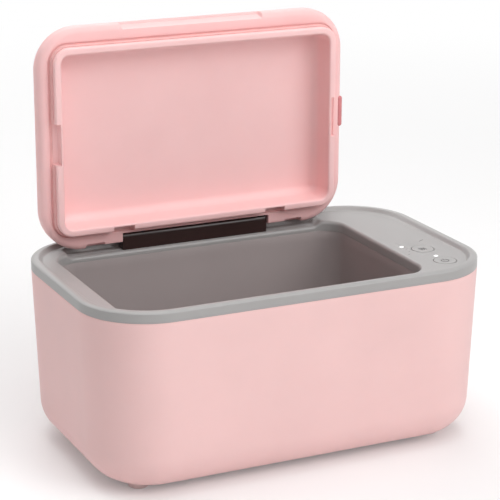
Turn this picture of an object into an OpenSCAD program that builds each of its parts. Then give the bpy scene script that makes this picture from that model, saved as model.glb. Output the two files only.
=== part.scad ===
// Baby wipe warmer with its lid open. The origin is on the floor under the middle of the body,
// +X runs to the right along the length, +Y to the back and +Z up.

/* [Body] */
// Length of the body from left to right
body_w = 230; // [216:1:250]
// Depth of the body from front to back
body_d = 141.4; // [134:0.2:156]
// Height from the floor to the top of the frame's rim
body_h = 103.8; // [96:0.2:120]
// Radius of the upright corners
corner_r = 38; // [34:1:40]
// How far each side leans in between the frame and the floor
side_lean = 3.6; // [2.6:0.1:5]
// Radius of the rounded bottom edge
bottom_r = 19.2; // [15:0.2:21]
// Wall of the outer shell
shell_wall = 2.6; // [2:0.1:2.8]

/* [Feet] */
// Height of a foot below the shell
foot_h = 3; // [2:0.5:5]
// Diameter of a foot at its top
foot_d = 11; // [8:0.5:12]
// Distance between left and right feet
foot_pitch_x = 174.5; // [166:0.5:178]
// Distance between front and back feet
foot_pitch_y = 84; // [80:1:88]

/* [Top frame] */
// Height of the frame's band outside
band_h = 6; // [5:0.5:8]
// Radius of the rim's outer edge
rim_r = 3.5; // [2.5:0.1:3.8]
// How far the deck lies below the rim
dish_depth = 2.5; // [1.5:0.1:2.8]
// Thickness of the deck
deck_t = 2.4; // [2:0.1:2.8]
// Frame width to the left of the tub opening
left_margin = 15.8; // [15:0.2:18]
// Frame width to the right of the tub opening, which holds the keys
deck_w = 39.8; // [38:0.2:46]
// Frame width in front of the tub opening
front_margin = 11.2; // [11.2:0.2:13]
// Frame width behind the tub opening
rear_margin = 20.2; // [20.2:0.2:24]
// Radius of the tub opening's corners
opening_r = 14; // [10:1:14]
// Radius of the opening's upper edge
opening_edge_r = 2; // [1:0.1:2.2]
// Depth of the opening's skirt below the deck
skirt_h = 9; // [8:0.5:12]

/* [Tub] */
// Wall of the tub
tub_wall = 2; // [1.6:0.1:2.2]
// How far each tub side leans in down to its floor
tub_lean = 2.5; // [2:0.1:4]
// Height of the tub's inner floor above the table
tub_floor = 17; // [16.6:0.2:22]
// Radius between the tub's floor and sides
tub_floor_r = 8; // [6:0.5:10]
// Width of the tub's flange under the frame
tub_flange = 8.6; // [8.4:0.2:9]

/* [Lid] */
// Thickness of the lid
lid_h = 16.4; // [15:0.2:20]
// Radius of the lid's corners
lid_corner_r = 23.5; // [20:0.5:26]
// Radius of the lid's outer edge
lid_edge_r = 10; // [8:0.1:11]
// Radius of the outer edge of the lid's rim
lid_rim_r = 3.6; // [2:0.1:4]
// Wall of the lid's outer shell
lid_wall = 2.4; // [2:0.1:2.6]
// Lid rim beyond the opening at each side
lid_over_side = 4.3; // [4:0.1:5]
// Lid rim beyond the opening at the front
lid_over_front = 5.5; // [4.6:0.1:5.5]
// Lid rim beyond the opening at the back
lid_over_back = 8.6; // [8:0.1:8.9]
// Gap between the closed lid and the deck
lid_gap = 0.3; // [0.2:0.05:0.6]

/* [Lid liner] */
// Gap at each side between the opening and the liner's lip
lip_gap_side = 2.8; // [2.8:0.1:5]
// Gap at the front between the opening and the lip
lip_gap_front = 4.2; // [4:0.1:7]
// Gap at the back between the opening and the lip
lip_gap_back = 1.4; // [1.3:0.1:2]
// Radius of the lip's corners
lip_r = 9; // [9:0.1:12]
// Wall of the lip
lip_wall = 4; // [3.6:0.1:4.4]
// How far the lip stands out of the lid's rim
lip_proud = 6; // [4:0.5:7]
// Depth of the liner's recess behind the lid's rim
recess_depth = 10; // [8:0.2:10.4]
// Radius between the recess's floor and sides
recess_r = 5; // [3:0.5:6]
// Length of the notch in the lip's left and right sides
side_notch_w = 22.8; // [16:0.2:30]
// Length of each notch in the lip's back side
back_notch_w = 12.4; // [8:0.2:14]
// Distance from the lid's middle to each notch in the lip's back side
back_notch_x = 46.2; // [36:0.2:50]
// Width of the groove round the lip
groove_w = 1.6; // [1.5:0.1:1.8]
// Wall of the seal round the lip
seal_w = 0.6; // [0.4:0.1:0.7]
// How far the seal stands out of the lid's rim
seal_proud = 3; // [2:0.1:3.2]

/* [Lid pad] */
// Length of the soft pad in the lid's right edge
pad_l = 17.8; // [12:0.2:22]
// Thickness of the pad
pad_w = 2.6; // [2.2:0.1:2.8]
// How far the pad stands out of the lid's side
pad_proud = 0.8; // [0.6:0.1:1.2]
// Depth of the pad into the lid's edge
pad_h = 4.8; // [3:0.2:5]

/* [Finger scoop] */
// Length of the scoop in the lid's free edge
scoop_w = 84; // [50:1:100]
// How far the scoop's middle lies to the left of the lid's middle
scoop_left = 1.4; // [0:0.1:4]
// Depth of the scoop at the rim
scoop_depth = 3; // [2.2:0.1:4]
// Depth of the scoop at its upper end
scoop_top_depth = 1.4; // [1:0.1:2]
// Height of the scoop
scoop_h = 6.5; // [5:0.5:8]

/* [Hinge] */
// Distance from the opening's back edge to the hinge axis
hinge_back = 4.65; // [4.65:0.05:5]
// Height of the hinge axis above the lid's rim
hinge_up = 4.15; // [4:0.05:5]
// Width of the hinge bracket
bracket_w = 89; // [70:1:100]
// Half thickness of the bracket, also the radius of its round top
bracket_r = 2.8; // [2.5:0.05:2.8]
// Radius of the hinge pin
pin_r = 1.5; // [1.2:0.05:1.5]
// Running clearance between the pin and the lid's bores
pin_play = 0.05; // [0.02:0.01:0.1]
// How far the pin runs into the lid at each end
pin_reach = 9; // [7:0.5:12]
// Depth of the trough below the deck
trough_depth = 2.8; // [2:0.1:3.2]

/* [Keys and lights] */
// Diameter of a key
key_d = 12.4; // [10:0.2:14]
// Gap round a key
key_gap = 0.3; // [0.25:0.05:0.5]
// Travel of a key
key_travel = 0.8; // [0.4:0.1:0.8]
// Distance from the body's right side to the keys' middles
key_inset = 23; // [21:0.5:24]
// Distance from the body's front to the heat key's middle
heat_key_in = 47.2; // [46:0.2:50]
// Distance from the body's front to the power key's middle
power_key_in = 23.2; // [23.2:0.2:26]
// Diameter of a light
light_d = 2.6; // [2:0.1:3]

/* [Heater] */
// Thickness of the aluminium heat plate
plate_t = 1.2; // [0.8:0.1:1.6]
// Thickness of the heating film
film_t = 0.6; // [0.4:0.1:0.8]
// Thickness of the foam pad under the heater
pad_t = 3.4; // [2:0.2:3.6]
// Thickness of the foam jacket round the tub
jacket_t = 2.4; // [1.6:0.1:2.4]
// Radius of the thermostat
thermostat_r = 8; // [6:0.5:9]

/* [Underside] */
// Thickness of the base cover's plate
cover_t = 1.4; // [1.2:0.1:1.6]
// Length of the hole that the base cover closes
cover_w = 150; // [136:1:152]
// Width of the hole that the base cover closes
cover_d = 76; // [66:1:78]
// Overlap of the base cover on the shell
cover_lap = 5; // [4.6:0.1:5.5]

/* [Power inlet] */
// Distance of the inlet from the body's middle, to the right
inlet_x = 70; // [50:1:74]
// Height of the inlet's axis
inlet_z = 30; // [28:1:60]
// Diameter of the inlet's socket
inlet_bore = 6.3; // [5.8:0.1:7]

/* [Hidden] */
$fn = 48;

// Steps in a quarter turn of a lofted corner, and of a lofted edge
corner_steps = 12;
edge_steps = 7;
// Small overlap that makes a cut run clear of a face
cut = 1;
// Half of a common join between shapes of one piece
join = 0.4;

pink = [0.95, 0.76, 0.75];
grey = [0.62, 0.61, 0.62];
dark_grey = [0.36, 0.34, 0.35];
steel = [0.75, 0.75, 0.77];
foam = [0.85, 0.85, 0.82];

// Heights
shell_bottom = foot_h;
shell_top = body_h - band_h;
deck_z = body_h - dish_depth;
deck_under = deck_z - deck_t;
skirt_bottom = deck_under - skirt_h;
rim_z = deck_z + lid_gap;
lid_top = rim_z + lid_h;
trough_z = deck_z - trough_depth;

// Tub opening
open_w = body_w - left_margin - deck_w;
open_d = body_d - front_margin - rear_margin;
open_x = (left_margin - deck_w) / 2;
open_y = (front_margin - rear_margin) / 2;
open_left = open_x - open_w / 2;
open_right = open_x + open_w / 2;
open_front = open_y - open_d / 2;
open_back = open_y + open_d / 2;

// Lid, in its closed place
lid_w = open_w + 2 * lid_over_side;
lid_d = open_d + lid_over_front + lid_over_back;
lid_y = open_y + (lid_over_back - lid_over_front) / 2;
lid_back = open_back + lid_over_back;
lid_front = open_front - lid_over_front;
lip_w = open_w - 2 * lip_gap_side;
lip_d = open_d - lip_gap_front - lip_gap_back;
lip_y = open_y + (lip_gap_front - lip_gap_back) / 2;
lip_back = lip_y + lip_d / 2;
lip_face = rim_z - lip_proud;
recess_z = rim_z + recess_depth;
flange_t = 2;
liner_floor_t = 1.8;
liner_flange_w = 2;
notch_web = 1.2;

// Hinge, and the angle at which the open lid is drawn
lid_angle = 90;
hinge_y = open_back + hinge_back;
hinge_z = rim_z + hinge_up;
hinge_play = 0.3;
notch_half = bracket_w / 2 + 0.5;
notch_front = hinge_y - bracket_r - hinge_play;
notch_top = hinge_z + bracket_r + hinge_play + 0.05;
notch_wall = 1.1;
boss_r = min(3, lid_back - hinge_y);
rebate_half = bracket_w / 2 + 21.5;
scoop_x = open_x - scoop_left;
scoop_wall = 1.6;
rebate_depth = 3.2;
rebate_h = 7;
rebate_wall = 1.6;
rebate_slope = 1.4;
boss_end = notch_half + pin_reach + 1.5;
boss_rebate = 1.9;
pad_in = 0.2;
trough_half = lid_w / 2 - lid_corner_r + 10;
trough_back = lid_back + 1.4;

// Tub
tub_top = skirt_bottom;
tub_under = tub_floor - tub_wall;
tub_flange_t = 2;
tub_flange_side = 4;
tub_flange_r = 23;

// Keys and lights
key_x = body_w / 2 - key_inset;
heat_key_y = heat_key_in - body_d / 2;
power_key_y = power_key_in - body_d / 2;
key_r = key_d / 2;
key_lip = 1.2;
key_lip_t = 1.2;
board_t = 1.6;
board_w = 20;
board_d = 52;
board_y = heat_key_y - 5.5;
board_x = key_x - 2;
board_gap = 5.7;
board_top = deck_under - board_gap;
switch_w = 6;
switch_h = 2;
plunger_r = 1.5;
plunger_h = 0.6;
heat_light = [key_x - 8.8, heat_key_y + 8.1];
power_light = [key_x, power_key_y + 9.7];
board_post = [[board_x + 7.5, board_y + 23], [board_x - 7, board_y - 23]];

// Blocks under the board: [x, y, length, depth, height], the chip and the plugs of the leads
board_parts = [[-1, -4, 8, 8, 1.6], [-3, 10, 5, 7, 5], [3.5, 10, 5, 7, 5]];

// Middle of a block's lower face
function plug_at(block) =
    [board_x + block[0] + block[2] / 2, board_y + block[1] + block[3] / 2, board_top - board_t - block[4]];

// Underside
cover_screw = [cover_w / 2 + cover_lap / 2, cover_d / 2 - 12];
foot_seat = 0.6;
foot_stem = foot_seat + 1.2;
foot_stem_r = 3;
foot_edge = 0.8;
cover_boss_h = 5.2;
cover_ribs = [-64, -5, 50];

// Fixings of the tub's flange: two at the left, two at the right and two behind
fix_out = 6;
fix_in = 21;
tub_fix = [
    [open_left - fix_out, open_front + fix_in], [open_left - fix_out, open_back - fix_in],
    [open_right + fix_out, open_back - 2 * fix_in], [open_right + fix_out, open_back - 0.8 * fix_in],
    [open_left + 1.2 * fix_in, open_back + fix_out], [open_right - 1.2 * fix_in, open_back + fix_out]
];
tub_flange_end = 8;
tub_flange_back = open_w - 2 * (1.2 * fix_in - tub_flange_end);
tub_screw_l = 7.6;
board_screw_l = 6.5;
tub_boss_r = 2.6;
screw_r = 1.2;

// Share of the side's lean at a height
function lean_at(z) = side_lean * (shell_top - z) / (shell_top - shell_bottom);

// Points of a rounded rectangle, anticlockwise seen from above
function outline(w, d, r, steps) = [
    for (c = [0:3], i = [0:steps])
        let (a = 90 * (c + i / steps), sx = (c == 0 || c == 3) ? 1 : -1, sy = c < 2 ? 1 : -1)
        [sx * (w / 2 - r) + r * cos(a), sy * (d / 2 - r) + r * sin(a)]
];

// Solid through rounded rectangles; each section is [width, depth, corner radius, height]
module loft(sections, steps = corner_steps) {
    m = 4 * (steps + 1);
    last = len(sections) - 1;
    points = [for (s = sections) for (p = outline(s[0], s[1], s[2], steps)) [p[0], p[1], s[3]]];
    sides = [
        for (k = [0:last - 1], i = [0:m - 1])
            let (j = (i + 1) % m, a = k * m + i, b = k * m + j)
            each [[a, a + m, b + m], [a, b + m, b]]
    ];
    floor_face = [for (i = [0:m - 1]) i];
    top_face = [for (i = [m - 1:-1:0]) last * m + i];
    polyhedron(points, concat([floor_face], sides, [top_face]), convexity = 8);
}

// Section of the body's outline, drawn in by an amount at the sides and at front and back
function body_section(in_x, in_y, z) =
    [body_w - 2 * in_x, body_d - 2 * in_y, corner_r - (in_x + in_y) / 2, z];

// Sections of the shell's inside or outside, at an offset inwards
function shell_sections(off, top) =
    let (r = bottom_r - off, z0 = shell_bottom + off)
    concat(
        [for (i = [0:edge_steps])
            let (a = 90 * i / edge_steps, z = z0 + r * (1 - cos(a)), s = off + lean_at(z) + r * (1 - sin(a)))
            body_section(s, s, z)],
        [body_section(off + lean_at(top), off + lean_at(top), top)]
    );

// Rounded rectangle with true arcs
module plate_2d(w, d, r) {
    square([w - 2 * r, d], center = true);
    square([w, d - 2 * r], center = true);
    for (sx = [-1, 1], sy = [-1, 1])
        translate([sx * (w / 2 - r), sy * (d / 2 - r)]) circle(r);
}

module plate(w, d, r, h) {
    linear_extrude(h) plate_2d(w, d, r);
}

// Ring between an outline and the same outline drawn in by a wall
module ring(w, d, r, wall, h) {
    linear_extrude(h) difference() {
        plate_2d(w, d, r);
        plate_2d(w - 2 * wall, d - 2 * wall, r - wall);
    }
}

// Pan-head screw pointing up, with its head's top face at the origin
module screw(length, r = screw_r, head_r = 2.4, head_h = 1.5) {
    cylinder(length, r = r);
    translate([0, 0, -head_h]) difference() {
        cylinder(head_h, r1 = head_r - 0.4, r2 = head_r);
        for (a = [0, 90]) rotate(a) translate([-1.3, -0.3, -cut]) cube([2.6, 0.6, cut + 0.7]);
    }
}

// Wire along points: one swept tube, with a ring square to the way at each point
function way(points, i) =
    let (n = len(points) - 1, v = points[min(i + 1, n)] - points[max(i - 1, 0)]) v / norm(v);

module wire(points, r, sides = 8) {
    n = len(points);
    rings = [
        for (i = [0:n - 1])
            let (t = way(points, i), ref = abs(t[1]) > 0.9 ? [1, 0, 0] : [0, 1, 0],
                 u = cross(ref, t) / norm(cross(ref, t)), v = cross(t, u))
            for (k = [0:sides - 1])
                let (a = 360 * k / sides) points[i] + r * (u * cos(a) + v * sin(a))
    ];
    walls = [
        for (i = [0:n - 2], k = [0:sides - 1])
            let (j = (k + 1) % sides, a = i * sides + k, b = i * sides + j)
            each [[a, a + sides, b + sides], [a, b + sides, b]]
    ];
    start = [for (k = [0:sides - 1]) k];
    end = [for (k = [sides - 1:-1:0]) (n - 1) * sides + k];
    polyhedron(rings, concat([start], walls, [end]), convexity = 6);
}

// Turns what is drawn in the closed lid's place up to the open lid
module open_lid() {
    translate([0, hinge_y, hinge_z]) rotate([-lid_angle, 0, 0]) translate([0, -hinge_y, -hinge_z])
        children();
}

module at_feet_corner(sx, sy) {
    translate([sx * foot_pitch_x / 2, sy * foot_pitch_y / 2, 0]) children();
}

// Outer shell: a lofted tub with a rounded bottom, closed below by the base cover
module outer_shell() {
    color(pink) difference() {
        union() {
            difference() {
                loft(shell_sections(0, shell_top));
                loft(shell_sections(shell_wall, shell_top + cut));
            }
            for (sx = [-1, 1], sy = [-1, 1])
                translate([sx * cover_screw[0], sy * cover_screw[1], shell_bottom + cover_t])
                    cylinder(cover_boss_h, r = 3);
            shell_catches();
        }
        translate([0, 0, shell_bottom - cut]) plate(cover_w, cover_d, 8, 4 + cut);
        translate([0, 0, shell_bottom - cut])
            plate(cover_w + 2 * cover_lap + 0.4, cover_d + 2 * cover_lap + 0.4, 12, cover_t + cut);
        for (sx = [-1, 1], sy = [-1, 1]) {
            translate([sx * cover_screw[0], sy * cover_screw[1], shell_bottom - cut])
                cylinder(cut + cover_t + cover_boss_h - 0.6, r = screw_r);
            at_feet_corner(sx, sy) foot_solid();
        }
        translate([inlet_x, body_d / 2, inlet_z]) rotate([90, 0, 0])
            translate([0, 0, -cut]) cylinder(20, r = inlet_bore / 2 + 1.6);
    }
}

// Ledges on the shell's inside that the frame's hooks catch
catch_x = [-70, 0, 70];
catch_w = 10;
catch_z = shell_top - 12;

module shell_catches() {
    for (s = [-1, 1], x = catch_x)
        translate([x - catch_w / 2, s * (body_d / 2 - shell_wall - lean_at(catch_z)), catch_z])
            rotate([90, 0, 90]) linear_extrude(catch_w)
                polygon([[s * 1.2, -3], [-s * 1.1, 0], [-s * 1.1, 1], [s * 1.2, 2.6]]);
}

module frame_hooks() {
    inner = body_d / 2 - shell_wall - lean_at(catch_z) - 1.1 - 0.25;
    for (s = [-1, 1], x = catch_x)
        translate([x - catch_w / 2 + 1, s * inner, 0]) rotate([90, 0, 90])
            linear_extrude(catch_w - 2) polygon([
                [0, shell_top + join], [0, catch_z - 3.6], [s * 0.9, catch_z - 3.6],
                [-s * 0.6, catch_z - 6], [-s * 1.5, catch_z - 6], [-s * 1.5, shell_top + join]
            ]);
}

module base_cover() {
    color(pink) difference() {
        union() {
            translate([0, 0, shell_bottom])
                plate(cover_w + 2 * cover_lap, cover_d + 2 * cover_lap, 12, cover_t);
            translate([0, 0, shell_bottom + cover_t - join])
                ring(cover_w - 1.6, cover_d - 1.6, 7.2, 1.6, 2.5 + join);
            for (x = cover_ribs)
                translate([x - 0.8, -cover_d / 2 + 1.4, shell_bottom + cover_t - join])
                    cube([1.6, cover_d - 2.8, pad_bottom - shell_bottom - cover_t + join]);
        }
        for (sx = [-1, 1], i = [-4:4]) translate([sx * 22.5 + i * 4, 0, shell_bottom - cut])
            linear_extrude(8) plate_2d(2.2, 34, 1.05);
        for (sx = [-1, 1], sy = [-1, 1])
            translate([sx * cover_screw[0], sy * cover_screw[1], shell_bottom - cut])
                cylinder(4, r = screw_r + 0.2);
    }
}

module base_screws() {
    color(steel) for (sx = [-1, 1], sy = [-1, 1])
        translate([sx * cover_screw[0], sy * cover_screw[1], shell_bottom])
            screw(cover_t + cover_boss_h - 0.6);
}

// Foot let into the shell, which is cut to the same shape
module foot_solid() {
    translate([0, 0, foot_edge]) cylinder(shell_bottom + foot_seat - foot_edge, r = foot_d / 2);
    cylinder(foot_edge, r1 = foot_d / 2 - foot_edge, r2 = foot_d / 2);
    cylinder(shell_bottom + foot_stem, r = foot_stem_r);
}

module foot(sx, sy) {
    color([0.93, 0.80, 0.80]) at_feet_corner(sx, sy) foot_solid();
}

// Top frame: raised rim, dished deck, opening with a rounded edge and a skirt, hinge trough
rim_sections = concat(
    [body_section(0, 0, shell_top)],
    [for (i = [0:edge_steps])
        let (a = 90 * i / edge_steps, s = rim_r * (1 - cos(a)))
        body_section(s, s, body_h - rim_r + rim_r * sin(a))],
    [body_section(rim_r + 1, rim_r + 0.6, body_h - dish_depth * 0.06),
     body_section(rim_r + 2.2, rim_r + 1, body_h - dish_depth * 0.3),
     body_section(rim_r + 3.3, rim_r + 1.3, body_h - dish_depth * 0.72),
     body_section(rim_r + 4.6, rim_r + 1.6, deck_z)]
);

opening_sections = concat(
    [[open_w, open_d, opening_r, skirt_bottom - cut]],
    [for (i = [0:4])
        let (a = 90 * i / 4, e = opening_edge_r * (1 - cos(a)))
        [open_w + 2 * e, open_d + 2 * e, opening_r + e, deck_z - opening_edge_r * (1 - sin(a))]],
    [[open_w + 2 * opening_edge_r, open_d + 2 * opening_edge_r, opening_r + opening_edge_r, body_h + cut]]
);

rib_h = 6;
rib_w = 1.6;
rib_in = shell_wall + lean_at(shell_top - rib_h) + 0.3;

module top_frame() {
    skirt_t = 2.2;
    color(grey) difference() {
        union() {
            difference() {
                loft(rim_sections);
                translate([0, 0, shell_top - cut])
                    plate(body_w - 10, body_d - 10, corner_r - 5, deck_under - shell_top + cut);
            }
            translate([0, 0, shell_top - rib_h])
                ring(body_w - 2 * rib_in, body_d - 2 * rib_in, corner_r - rib_in, rib_w, rib_h + join);
            translate([open_x, open_y, skirt_bottom])
                plate(open_w + 2 * skirt_t, open_d + 2 * skirt_t, opening_r + skirt_t, skirt_h + join);
            translate([open_x - trough_half - 2, open_back + 0.5, trough_z - deck_t])
                cube([2 * trough_half + 4, trough_back - open_back + 1.5,
                      deck_under - trough_z + deck_t + join]);
            for (p = tub_fix) translate([p[0], p[1], skirt_bottom]) cylinder(skirt_h + join, r = tub_boss_r);
            for (p = board_post) translate([p[0], p[1], board_top]) cylinder(board_gap + join, r = 2.3);
            frame_hooks();
        }
        translate([open_x, open_y, 0]) loft(opening_sections);
        translate([open_x - trough_half, open_back - 6, trough_z])
            cube([2 * trough_half, trough_back - open_back + 6, 10]);
        for (p = tub_fix) translate([p[0], p[1], skirt_bottom - cut]) cylinder(6 + cut, r = screw_r);
        for (p = board_post) translate([p[0], p[1], board_top - cut])
            cylinder(board_gap - 0.4 + cut, r = screw_r);
        for (y = [heat_key_y, power_key_y])
            translate([key_x, y, deck_under - cut]) cylinder(deck_t + 2 * cut, r = key_r + key_gap);
        for (p = [heat_light, power_light])
            translate([p[0], p[1], deck_under - cut]) cylinder(deck_t + 2 * cut, r = light_d / 2);
        for (x = bracket_fix) translate([x, hinge_y, trough_z - deck_t - cut])
            cylinder(deck_t + 2 * cut, r = screw_r + 0.2);
    }
}

// Tub with a rounded floor, hung by its flange
function tub_sections(off, top) =
    let (r = tub_floor_r + off, z0 = tub_floor - off, h = tub_top - z0)
    concat(
        [for (i = [0:edge_steps])
            let (a = 90 * i / edge_steps, z = z0 + r * (1 - cos(a)),
                 s = tub_lean * (tub_top - z) / h - off + r * (1 - sin(a)))
            [open_w - 2 * s, open_d - 2 * s, opening_r - tub_lean * (tub_top - z) / h + off, z]],
        [[open_w + 2 * off, open_d + 2 * off, opening_r + off, top]]
    );

module inner_tub() {
    color(dark_grey) difference() {
        union() {
            translate([open_x, open_y, 0]) loft(tub_sections(tub_wall, tub_top));
            translate([open_x, open_y, tub_top - tub_flange_t])
                plate(open_w + 2 * tub_flange, open_d + 2 * tub_flange_side, tub_flange_r, tub_flange_t);
            translate([open_x - tub_flange_back / 2, open_back, tub_top - tub_flange_t])
                cube([tub_flange_back, tub_flange, tub_flange_t]);
        }
        translate([open_x, open_y, 0]) loft(tub_sections(0, tub_top + cut));
        for (p = tub_fix) translate([p[0], p[1], tub_top - tub_flange_t - cut])
            cylinder(tub_flange_t + 2 * cut, r = screw_r + 0.3);
    }
}

module tub_screws() {
    color(steel) for (p = tub_fix) translate([p[0], p[1], tub_top - tub_flange_t]) screw(tub_screw_l);
}

// Foam jacket between the tub and the shell
function jacket_section(off, z) =
    let (s = tub_lean * (tub_top - z) / (tub_top - tub_under) - tub_wall - off)
    [open_w - 2 * s, open_d - 2 * s, opening_r - s, z];

module insulation_jacket() {
    jacket_low = tub_floor + tub_floor_r + 1;
    jacket_high = tub_top - 5;
    color(foam) translate([open_x, open_y, 0]) difference() {
        loft([jacket_section(0.1 + jacket_t, jacket_low), jacket_section(0.1 + jacket_t, jacket_high)]);
        loft([jacket_section(0.1, jacket_low - cut), jacket_section(0.1, jacket_high + cut)]);
    }
}

// Heater pack under the tub's floor
plate_in = 14;
plate_r = 10;
film_in = 3;
foam_in = 6;
plate_w = open_w - 2 * plate_in;
plate_d = open_d - 2 * plate_in;
film_z = tub_under - plate_t - film_t;
pad_bottom = film_z - pad_t;
thermostat_at = [open_x + 34, open_y];
fuse_at = [open_x - 36, open_y];
fuse_l = 12;
fuse_r = 2;
fuse_wire = 2;
lead_slot_w = 6;

module heat_plate() {
    color([0.8, 0.8, 0.82]) translate([open_x, open_y, tub_under - plate_t])
        plate(plate_w, plate_d, plate_r, plate_t);
}

module heating_film() {
    color([0.75, 0.45, 0.2]) translate([open_x, open_y, film_z])
        plate(plate_w - 2 * film_in, plate_d - 2 * film_in, plate_r - film_in, film_t);
}

module insulation_pad() {
    color(foam) translate([0, 0, pad_bottom]) difference() {
        translate([open_x, open_y, 0])
            plate(plate_w - 2 * foam_in, plate_d - 2 * foam_in, plate_r - foam_in, pad_t);
        translate([thermostat_at[0], thermostat_at[1], -cut]) {
            cylinder(pad_t + 2 * cut, r = thermostat_r + 1.5);
            translate([0, -lead_slot_w / 2, -cut]) cube([plate_w / 2, lead_slot_w, pad_t + 4 * cut]);
        }
        translate([fuse_at[0] - 2 * fuse_wire, fuse_at[1] - lead_slot_w / 2, -cut])
            cube([fuse_l + 6 * fuse_wire, lead_slot_w, pad_t + 2 * cut]);
    }
}

module thermostat() {
    translate([thermostat_at[0], thermostat_at[1], 0]) {
        color("silver") {
            translate([0, 0, film_z - 1.4]) cylinder(1.4, r = thermostat_r + 0.6);
            translate([0, 0, film_z - 4.6]) cylinder(3.2 + join, r = thermostat_r);
        }
        color("black") for (s = [-1, 1]) translate([s * 4 - 0.4, -1.5, film_z - 6.4])
            cube([0.8, 3, 1.8 + join]);
    }
}

module thermal_fuse() {
    color("white") translate([fuse_at[0], fuse_at[1], film_z - fuse_r]) rotate([0, 90, 0]) {
        cylinder(fuse_l, r = fuse_r);
        translate([0, 0, -fuse_wire]) cylinder(fuse_l + 2 * fuse_wire, r = 0.5);
    }
}

lead_z = film_z - 2;
lead_gap = 9;

module heater_leads() {
    plug = plug_at(board_parts[1]);
    rise_x = open_right + lead_gap;
    color("red") for (s = [-1, 1])
        wire([
            [thermostat_at[0] + thermostat_r + 0.6, thermostat_at[1] + s * 1.4, lead_z],
            [open_right - 14, open_y + s * 1.4, lead_z],
            [open_right - 4, open_y + s * 1.4, lead_z + 2],
            [rise_x - 3, open_y + s * 1.4, lead_z + 12],
            [rise_x, open_y + s * 1.4, lead_z + 30],
            [rise_x, plug[1] + s * 1.4, plug[2] - 16],
            [plug[0] - 0.6, plug[1] + s * 1.4, plug[2] - 8],
            [plug[0], plug[1] + s * 1.4, plug[2] - 3],
            [plug[0], plug[1] + s * 1.4, plug[2]]
        ], 0.8);
}

// Circuit board on posts under the deck
module control_board() {
    color([0.1, 0.4, 0.25]) difference() {
        translate([board_x - board_w / 2, board_y - board_d / 2, board_top - board_t])
            cube([board_w, board_d, board_t]);
        for (p = board_post) translate([p[0], p[1], board_top - board_t - cut])
            cylinder(board_t + 2 * cut, r = screw_r + 0.2);
    }
    for (b = board_parts) color("black")
        translate([board_x + b[0], board_y + b[1], board_top - board_t - b[4]])
            cube([b[2], b[3], b[4] + join]);
}

module key_switches() {
    for (y = [heat_key_y, power_key_y]) translate([key_x, y, board_top]) {
        color("black") translate([-switch_w / 2, -switch_w / 2, 0]) cube([switch_w, switch_w, switch_h]);
        color("white") cylinder(switch_h + plunger_h, r = plunger_r);
    }
}

module board_screws() {
    color(steel) for (p = board_post) translate([p[0], p[1], board_top - board_t]) screw(board_screw_l);
}

module light_pipe(p) {
    color([0.98, 0.98, 1]) translate([p[0], p[1], board_top]) {
        cylinder(deck_z - board_top + 0.15, r = light_d / 2);
        cylinder(deck_under - board_top, r = light_d / 2 + 0.8);
    }
}

// Key with a round cap, a holding lip under the deck and a stem over its switch
module key(y) {
    stem_low = board_top + switch_h + plunger_h + key_travel + 0.1;
    color([0.66, 0.65, 0.66]) translate([key_x, y, 0]) {
        translate([0, 0, deck_z - 0.4]) cylinder(0.5, r1 = key_r, r2 = key_r - 0.3);
        translate([0, 0, deck_under - 1]) cylinder(deck_z - deck_under + 0.6, r = key_r);
        translate([0, 0, deck_under - 0.1 - key_lip_t]) cylinder(key_lip_t, r = key_r + key_lip);
        translate([0, 0, stem_low]) cylinder(deck_under - stem_low, r = plunger_r);
    }
}

// Low-voltage socket through the back wall
module power_inlet() {
    face = body_d / 2 - lean_at(inlet_z);
    color([0.12, 0.12, 0.13]) translate([inlet_x, face - 0.7, inlet_z]) rotate([90, 0, 0]) {
        difference() {
            union() {
                cylinder(shell_wall + 7, r = inlet_bore / 2 + 1.5);
                translate([0, 0, shell_wall + 0.3]) cylinder(4.5, r = inlet_bore / 2 + 3);
            }
            translate([0, 0, -cut]) cylinder(shell_wall + 5.5 + cut, r = inlet_bore / 2);
        }
        translate([0, 0, 1.4]) cylinder(shell_wall + 5, r = 1);
    }
}

module inlet_leads() {
    start_y = body_d / 2 - lean_at(inlet_z) - shell_wall - 7.7;
    plug = plug_at(board_parts[2]);
    color("black") for (s = [-1, 1])
        wire([
            [inlet_x, start_y, inlet_z + s * 1.4], [inlet_x, start_y - 1.2, inlet_z + s * 1.4],
            [inlet_x + 6, start_y - 3, inlet_z + s * 1.4 + 3],
            [plug[0] - 2, start_y - 6, inlet_z + s * 1.4 + 12],
            [plug[0], plug[1] + 22 + s * 1.1, plug[2] - 20 + s * 1.1],
            [plug[0], plug[1] + s * 1.3, plug[2] - 6 + s * 0.7],
            [plug[0], plug[1] + s * 1.4, plug[2]]
        ], 0.8);
}

// Hinge bracket: a bar with a round top that carries the pin
bracket_fix = [for (i = [-1:1]) open_x + i * bracket_w / 3];
hinge_screw_l = deck_t + 4;

module hinge_bracket() {
    color([0.14, 0.1, 0.1]) difference() {
        union() {
            translate([open_x - bracket_w / 2, hinge_y, hinge_z]) rotate([0, 90, 0])
                cylinder(bracket_w, r = bracket_r);
            translate([open_x - bracket_w / 2, hinge_y - bracket_r, trough_z])
                cube([bracket_w, 2 * bracket_r, hinge_z - trough_z]);
        }
        translate([open_x - bracket_w / 2 - cut, hinge_y, hinge_z]) rotate([0, 90, 0])
            cylinder(bracket_w + 2 * cut, r = pin_r);
        for (x = bracket_fix) translate([x, hinge_y, trough_z - cut])
            cylinder(hinge_screw_l - deck_t + 0.2 + cut, r = screw_r);
    }
}

module hinge_pin() {
    color(steel) translate([open_x - bracket_w / 2 - pin_reach, hinge_y, hinge_z]) rotate([0, 90, 0])
        cylinder(bracket_w + 2 * pin_reach, r = pin_r);
}

module hinge_screws() {
    color(steel) for (x = bracket_fix) translate([x, hinge_y, trough_z - deck_t]) screw(hinge_screw_l);
}

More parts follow.
